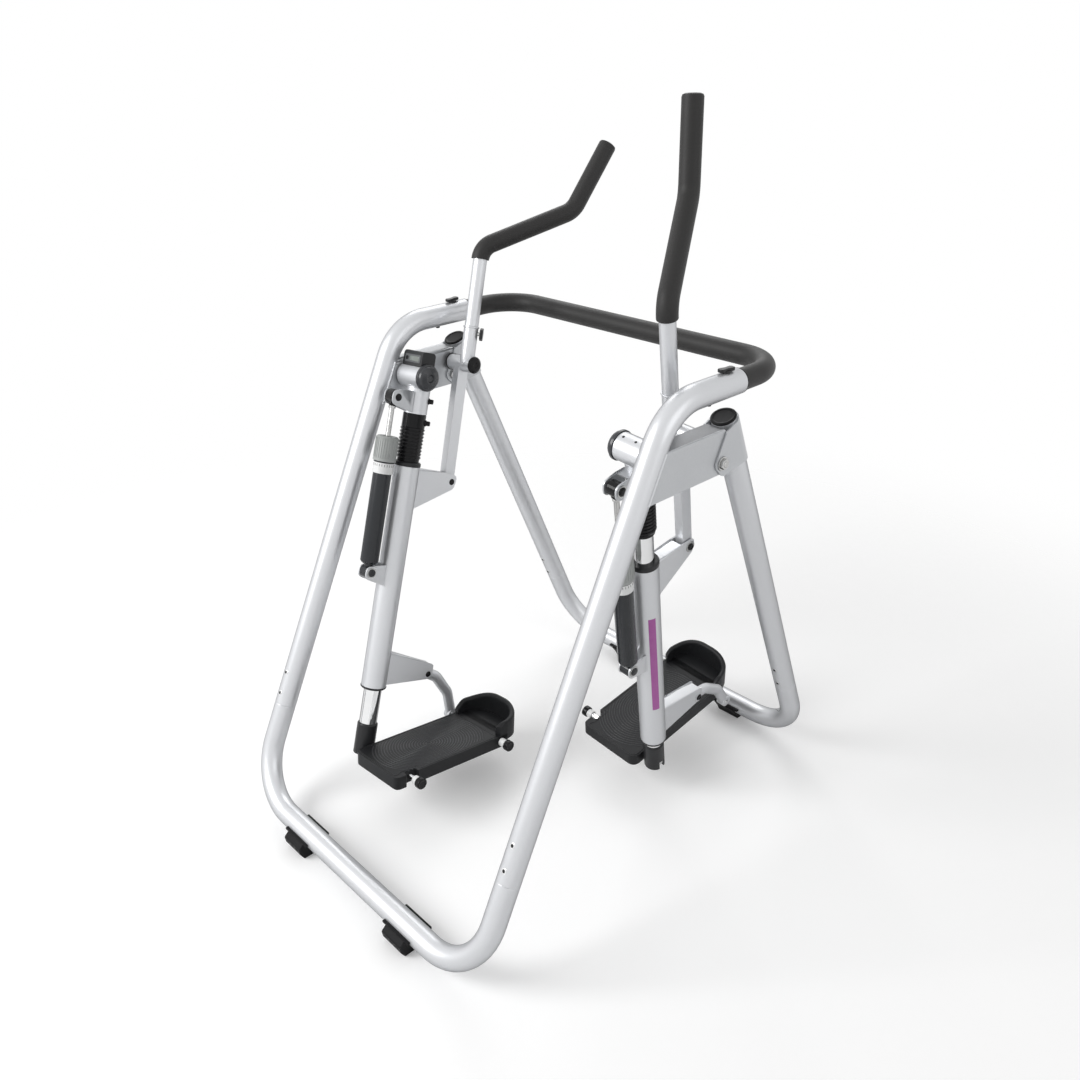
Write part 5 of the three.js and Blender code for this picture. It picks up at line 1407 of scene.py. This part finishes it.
def addLinkBolt(side, places):
    mesh = bmesh.new()
    spot = moveTo(0, linkage["offset"] + linkage["upperRun"], -linkage["upperDrop"])
    throughBolt(mesh, places["slider"] @ spot, upperBracket["half"] + 0.3, boltHead["shank"])
    finishSide(mesh, side, "LinkBolt", f"{side}_slider", ["glossPlastic", "zinc"])


lever = {
    "hub": 16.5, "hubOuter": 34, "hubInner": 37, "bore": 8, "width": 18, "depth": 26, "setback": 2.5,
    "socketX": 17.2, "socketY": 3, "socket": 15, "socketBore": 12.4, "socketFloor": 19,
    "socketTop": 78, "rim": 1.6,
}


def addLever(side, places):
    k = lever
    mesh = bmesh.new()
    spot = places["lever"]
    drum(mesh, k["hub"], (-k["hubInner"], k["hubOuter"]), (0.8, 0.8), spot @ axisX, 0, 56, k["bore"])
    # the link bar: rectangular tube, pinched round at its foot
    rear, half = -k["setback"] - k["depth"] / 2, k["width"] / 2
    end, length = k["depth"] / 2 - 0.3, linkage["leverLength"]
    front, foot = rear + k["depth"], -length - end
    bar = rounded([[rear, -4], [rear, foot, end], [front, foot, end], [front, -4]], steps=10)
    prism(mesh, bar, -half, half, spot)
    r, rim, top = k["socket"], k["socket"] + k["rim"], k["socketTop"]
    tube = [
        [k["socketBore"], k["socketFloor"]], [k["socketBore"], top], [rim, top, 0.8], [rim, top - 3, 0.6],
        [r, top - 3.6], [r, 2], [axisGap, 2], [axisGap, k["socketFloor"]],
    ]
    turned(mesh, tube, spot @ moveTo(-k["socketX"], -k["socketY"], 0), 0, 48)
    postBead(mesh, spot, r, -k["socketX"], -k["socketY"], k["hub"], 1, 1.6, 40)
    ends = (k["hubOuter"] - 2, k["hubOuter"] + 1)
    drum(mesh, k["hub"] + 1.2, ends, (0.8, 0.8), spot @ axisX, 1, 48, k["bore"])
    paints = ["silver", "glossPlastic"]
    finishSide(mesh, side, "Lever", f"{side}_hand_lever", paints, bevel=1.6, segments=3)


leverCap = {"plug": 7.2, "radius": 17.5, "shoulder": 12.5, "dish": 6, "dishFloor": 4.5}


def addLeverCap(side, places):
    k = leverCap
    mesh = bmesh.new()
    face = -lever["hubInner"] - 0.3
    rows = [
        [0, face + 6], [k["plug"], face + 6], [k["plug"], face + 0.2], [k["radius"], face + 0.2, 0.8],
        [k["radius"], face - 2.5, 2], [k["shoulder"], face - 6, 3], [k["dish"], face - 6.3, 1.5],
        [k["dishFloor"], face - 4.6, 1], [0, face - 4.4],
    ]
    turned(mesh, rows, places["lever"] @ axisX, 0, 52)
    finishSide(mesh, side, "LeverCap", f"{side}_hand_lever", ["glossPlastic"])


leverKnob = {
    "z": 64, "turn": 45, "stem": 4, "radius": 13.5, "thick": 7, "reach": 4, "lobes": 5, "wave": 0.9,
    "steps": 60,
}


def addLeverKnob(side, places):
    k = leverKnob
    mesh = bmesh.new()
    spot = places["lever"] @ moveTo(-lever["socketX"], -lever["socketY"], k["z"]) @ turnBy(-k["turn"], "Z")
    out = -lever["socket"] - k["reach"]
    drum(mesh, k["stem"], (out - 1, -lever["socketBore"]), (0, 0), spot @ axisX, 1, 28)
    star = []
    for t in range(k["steps"]):
        a = 2 * math.pi * t / k["steps"]
        r = k["radius"] - k["wave"] + k["wave"] * math.cos(k["lobes"] * a)
        star.append((r * math.cos(a), r * math.sin(a)))
    prism(mesh, star, out - k["thick"], out, spot)
    paints = ["blackPlastic", "zinc"]
    finishSide(mesh, side, "LeverKnob", f"{side}_lever_screw", paints, bevel=1.6, segments=3, angle=40)


handle = {
    "radius": 14.3, "spigot": 12, "bore": 10, "bottom": 19.3, "elbow": 237, "grip": 18.3, "gripBottom": 215,
    "shoulder": (-101.4, 158.3, 342.2), "top": (-127.7, 205.9, 485.1), "elbowBend": 40, "shoulderBend": 50,
    "topGap": 12, "tip": ((5, 0), (1.6, 1.4), (0, 5)),
}


def handleCorners(start, gap):
    k = handle
    x, y = -lever["socketX"], -lever["socketY"]
    shoulder, top = Vector(k["shoulder"]), Vector(k["top"])
    end = top - (top - shoulder).normalized() * gap
    elbow = ((x, y, k["elbow"]), k["elbowBend"])
    return [((x, y, start), 0), elbow, (shoulder, k["shoulderBend"]), (end, 0)]


def addHandle(side, places):
    k, top = handle, lever["socketTop"]
    x, y = -lever["socketX"], -lever["socketY"]
    spot, body = places["lever"], f"{side}_handle"
    mesh = bmesh.new()
    pipe(mesh, handleCorners(top + 0.3, k["topGap"] + 0.3), k["radius"], spot, 0, k["bore"])
    pipe(mesh, [((x, y, k["bottom"]), 0), ((x, y, top + 2), 0)], k["spigot"], spot, 0, k["bore"] - 0.5)
    finishSide(mesh, side, "HandleTube", body, ["silver"], bevel=0.4)
    # the grip: a sleeve with a closed, rounded end over the tube's end
    mesh = bmesh.new()
    stations = roundedPath(handleCorners(k["gripBottom"], 0), 3.0)
    tail, aim = stations.pop()
    bore = circle(k["radius"] + 0.3, 40)
    shells = (
        (stations + [(tail - aim * back, aim) for back, _ in k["tip"]],
         [circle(k["grip"], 40)] * len(stations) + [circle(k["grip"] - less, 40) for _, less in k["tip"]]),
        (stations + [(tail - aim * k["topGap"], aim)], [bore] * (len(stations) + 1)),
    )
    outer, inner = (ringsAlong(mesh, where, sections, spot) for where, sections in shells)
    for rings in (outer, inner):
        bridgeAll(mesh, rings)
    bridge(mesh, outer[0], inner[0])
    mesh.faces.new(outer[-1])
    mesh.faces.new(inner[-1])
    grip = finishSide(mesh, side, "Grip", body, ["foam"], angle=40)


pedal = {
    "outer": -23, "inner": -175, "rear": -40, "front": 310, "top": 12, "bottom": -16, "corner": 20,
    "toe": 62, "toeStart": 234, "toeTop": 60, "toeSide": 42, "toeEase": 26, "wall": 11, "lipStart": 262,
    "lipLow": -3, "lipBack": 20, "notchHalf": 14, "notchDepth": 13, "inset": 9, "ringPitch": 6.4,
    "ringHeight": 0.9, "ringRatio": 0.8, "ridge": 1.5, "sunk": 0.55, "sideSteps": 8, "sideRun": 3.75,
    "rimEdge": 4, "rimWaist": 17, "rimHeel": 10, "rimSteps": (22, -20), "rimFoot": (1.5, 0.5),
    "wallFoot": (2, 6),
    # across the wall from its outer to its inner face, and how far below the crest
    "wallTop": ((0, 5), (0.1, 1.5), (0.32, 0), (0.65, 0.4), (0.92, 3), (1, 8)),
}


def pedalOutline(inset, steps):
    k = pedal
    a, b = k["outer"] - inset, k["inner"] + inset
    front, rear = k["front"] - inset, k["rear"] + inset
    toe, corner = k["toe"] - inset, max(2, k["corner"] - inset)
    return rounded([[a, front, toe], [b, front, toe], [b, rear, corner], [a, rear, corner]], steps=steps)


# the toe cup: a wall round the front whose top is arched
def addToeCup(mesh, spot, middle, half):
    k = pedal

    def crest(x, y):
        share = (x - middle) / half
        ease = min(1, max(0, (y - k["toeStart"]) / k["toeEase"]))
        rise = k["toeTop"] - (k["toeTop"] - k["toeSide"]) * share * share
        return k["top"] + (rise - k["top"]) * (0.45 + 0.55 * math.sin(ease * math.pi / 2))

    def wallPath(inset):
        start, run = k["toeStart"], k["sideSteps"] * k["sideRun"]
        front = [p for p in pedalOutline(inset, 20) if p.y > start + run]
        ends = [start + t * k["sideRun"] for t in range(k["sideSteps"])]
        out, inn = k["outer"] - inset, k["inner"] + inset
        return [Vector((out, y)) for y in ends] + front + [Vector((inn, y)) for y in reversed(ends)]

    columns = []
    for a, b in zip(wallPath(0), wallPath(k["wall"])):
        top = crest(a.x, a.y)
        ring = [(*a, k["wallFoot"][0])]
        ring += [(a.x * (1 - s) + b.x * s, a.y * (1 - s) + b.y * s, top - less) for s, less in k["wallTop"]]
        ring.append((*b, k["wallFoot"][1]))
        columns.append([mesh.verts.new(spot @ Vector(p)) for p in ring])
    for lower, upper in zip(columns, columns[1:]):
        for j in range(len(lower)):
            n = (j + 1) % len(lower)
            mesh.faces.new((lower[j], lower[n], upper[n], upper[j]))
    mesh.faces.new(columns[0])
    mesh.faces.new(columns[-1])


# a low ridge that closes on itself, round the tread
def addRim(mesh, points, spot):
    k = pedal
    low, high = k["top"] - 0.3, k["top"] + k["ringHeight"]
    foot, crown = k["rimFoot"]
    run = points + points[:1]
    rings = []
    for i, p in enumerate(run):
        ahead = (run[min(i + 1, len(run) - 1)] - run[max(i - 1, 0)]).normalized()
        side = Vector((-ahead.y, ahead.x))
        shape = ((foot, low), (crown, high), (-crown, high), (-foot, low))
        rings.append([mesh.verts.new(spot @ Vector((*(p + side * out), z))) for out, z in shape])
    bridgeAll(mesh, rings)
    mesh.faces.new(rings[0])
    mesh.faces.new(rings[-1])


def addPedal(side, places):
    k = pedal
    mesh = bmesh.new()
    spot = places["plate"]
    out, inn, rear, corner = k["outer"], k["inner"], k["rear"], k["corner"]
    notch, deep = k["notchHalf"], k["inner"] + k["notchDepth"]
    body = [
        [out, k["lipStart"], 1], [inn, k["lipStart"], 1], [inn, notch, 3], [deep, notch, 6],
        [deep, -notch, 6], [inn, -notch, 3], [inn, rear, corner], [out, rear, corner],
    ]
    prism(mesh, rounded(body, steps=8), k["bottom"], k["top"], spot, 0, "z")
    lipBack = k["lipStart"] - k["lipBack"]
    lip = [p for p in pedalOutline(0, 16) if p.y > lipBack]
    lip = [Vector((out, lipBack)), *lip, Vector((inn, lipBack))]
    prism(mesh, lip, k["lipLow"], k["top"], spot, 0, "z")
    middle, half = (out + inn) / 2, (out - inn) / 2
    addToeCup(mesh, spot, middle, half)
    # tread: oval rings that stop at the edge of the plate
    low, high = rear + k["inset"], k["toeStart"] - 4
    tread = {
        "Count": int((high - low) / 2 / k["ringPitch"]), "Pitch": k["ringPitch"], "Ratio": k["ringRatio"],
        "Half width": half - k["inset"], "Half length": (high - low) / 2, "Ridge": k["ridge"],
    }
    middleOfTread = moveTo(middle, (low + high) / 2, k["top"] - k["sunk"])
    # the rings take the lighter ridge finish, a painted highlight along their crests
    grow(mesh, treadTree, tread, spot @ middleOfTread, 1, "ridgeHighlightPlastic")
    edge, waist, (front, back) = k["rimEdge"], inn + k["rimWaist"], k["rimSteps"]
    rim = [
        [out - edge, high, 3], [inn + edge, high, 3], [inn + edge, front, 3], [waist, front, 3],
        [waist, back, 3], [inn + k["rimHeel"], low - edge, 12], [out - edge, low - edge, 14],
    ]
    addRim(mesh, rounded(rim, steps=6), spot)
    paints = ["treadPlastic", "ridgeHighlightPlastic"]
    finishSide(mesh, side, "FootPlate", f"{side}_plate", paints, bevel=1.8, segments=3, angle=45)


arm = {
    "radius": 12.5, "flat": 0.76, "highY": 18, "highZ": 36, "lowY": 20, "lowZ": 96, "bend": 34, "eye": 11,
    "eyeHalf": 10, "boss": 13.2, "bossHalf": 9.4, "pin": 4.5, "rodEnd": 9.5, "spacerEnd": 179,
}


def addControlArm(side, places):
    k = arm
    mesh = bmesh.new()
    spot = places["arm"]
    length = linkage["armLength"]
    foot = spot @ moveTo(0, 0, -length)
    bends = [((0, k[y], -k[z]), k["bend"]) for y, z in (("highY", "highZ"), ("lowY", "lowZ"))]
    section = [(a * k["flat"], b) for a, b in circle(k["radius"], 36)]
    sweep(mesh, roundedPath([((0, 0, 0), 0), *bends, ((0, 0, -length), 0)], 3.0), section, spot)
    drum(mesh, k["eye"], (-k["eyeHalf"], k["eyeHalf"]), (1, 1), spot @ axisX, 0, 40)
    throughBolt(mesh, spot, lowerBracket["half"] + 0.3, k["pin"], 3, 0)
    rodWithKnob(mesh, foot, k["rodEnd"], k["spacerEnd"])
    drum(mesh, k["boss"], (-k["bossHalf"], k["bossHalf"]), (1, 1), foot @ axisX, 0, 40)
    finishSide(mesh, side, "ControlArm", f"{side}_arm", ["silver", *rodPaints], angle=40)


for where in floorBars:
    addFloorBar(where)
addHandrail()
print("stage: floor bars and handrail made")
frameMakers = (addSideFrame, addFrontLeg, addLegCap, addFoldBolt, addRailKnob)
swingMakers = (
    addHipSleeve, addHipCap, addInnerTube, addBumper, addDamperRod, addFork, addRearRod, addCounter,
    addOuterTube, addBushes, addDamperCylinder, addDial, addLinkBolt, addLever, addLeverCap, addLeverKnob,
    addHandle, addPedal, addControlArm,
)
for side in sideNames:
    places = sidePlaces(side)
    for make in frameMakers:
        make(side, places)
    for where in ("Rear", "Front"):
        addFoot(side, where, places)
    for make in swingMakers:
        make(side, places)
    print(f"stage: {side} side made")

studio = {
    "floorColour": 0.88, "floorRadius": 2.8, "floorSides": 96, "fadeFrom": 1.0, "fadeTo": 2.4,
    "floorGlow": 0.16, "worldLight": 0.5, "backdrop": 1.0, "aim": (0, 0, 0.6),
}
lamps = {
    "key": {"place": (-1.5, -3.1, 2.5), "size": 2.0, "power": 104},
    "fill": {"place": (3.4, 0.4, 2.2), "size": 2.4, "power": 16},
    "rim": {"place": (-2.4, 2.2, 3.2), "size": 2.4, "power": 40},
}


# a pale floor that thins out into the backdrop
def addFloor():
    k = studio
    mesh = bmesh.new()
    bmesh.ops.create_circle(mesh, cap_ends=True, segments=k["floorSides"], radius=k["floorRadius"])
    data = bpy.data.meshes.new("floor")
    mesh.to_mesh(data)
    mesh.free()
    material = bpy.data.materials.new("paleFloor")
    material.use_nodes = True
    tree = material.node_tree
    seen = addNode(tree, "ShaderNodeLightPath")["Is Camera Ray"]
    place = addNode(tree, "ShaderNodeTexCoord")["Object"]
    distance = addNode(tree, "ShaderNodeVectorMath", {0: place}, operation="LENGTH")["Value"]
    fade = {
        "Value": distance, "From Min": k["fadeFrom"], "From Max": k["fadeTo"], "To Min": 1.0, "To Max": 0.0,
    }
    values = {
        "Base Color": (*[k["floorColour"]] * 3, 1),
        "Roughness": 0.9,
        "Specular IOR Level": 0.0,
        "Emission Color": (1, 1, 1, 1),
        "Emission Strength": mathNode(tree, "MULTIPLY", seen, k["floorGlow"]),
        "Alpha": addNode(tree, "ShaderNodeMapRange", fade, interpolation_type="SMOOTHSTEP")["Result"],
    }
    for label, value in values.items():
        feed(tree, tree.nodes["Principled BSDF"].inputs[label], value)
    data.materials.append(material)
    floor = addToScene("floor", data)


def addLamp(name, k):
    data = bpy.data.lights.new(name, "AREA")
    data.shape = "SQUARE"
    data.size = k["size"]
    data.energy = k["power"]
    lamp = addToScene(name, data)
    lamp.location = k["place"]
    lamp.rotation_mode = "QUATERNION"
    lamp.rotation_quaternion = (Vector(studio["aim"]) - Vector(k["place"])).to_track_quat("-Z", "Y")


# the world shows white to the camera and in reflections, and lights the rest more softly
def lightWorld():
    world = bpy.data.worlds.new("studio")
    scene.world = world
    world.use_nodes = True
    tree = world.node_tree
    rays = addNode(tree, "ShaderNodeLightPath")
    seen = mathNode(tree, "MAXIMUM", rays["Is Camera Ray"], rays["Is Glossy Ray"])
    seen = mathNode(tree, "MAXIMUM", seen, rays["Is Transmission Ray"])
    gain = mathNode(tree, "MULTIPLY", seen, studio["backdrop"] - studio["worldLight"])
    background = tree.nodes["Background"].inputs
    feed(tree, background["Color"], (1, 1, 1, 1))
    feed(tree, background["Strength"], mathNode(tree, "ADD", gain, studio["worldLight"]))


addFloor()
for lampName, values in lamps.items():
    addLamp(lampName, values)
lightWorld()
print("stage: studio ready")
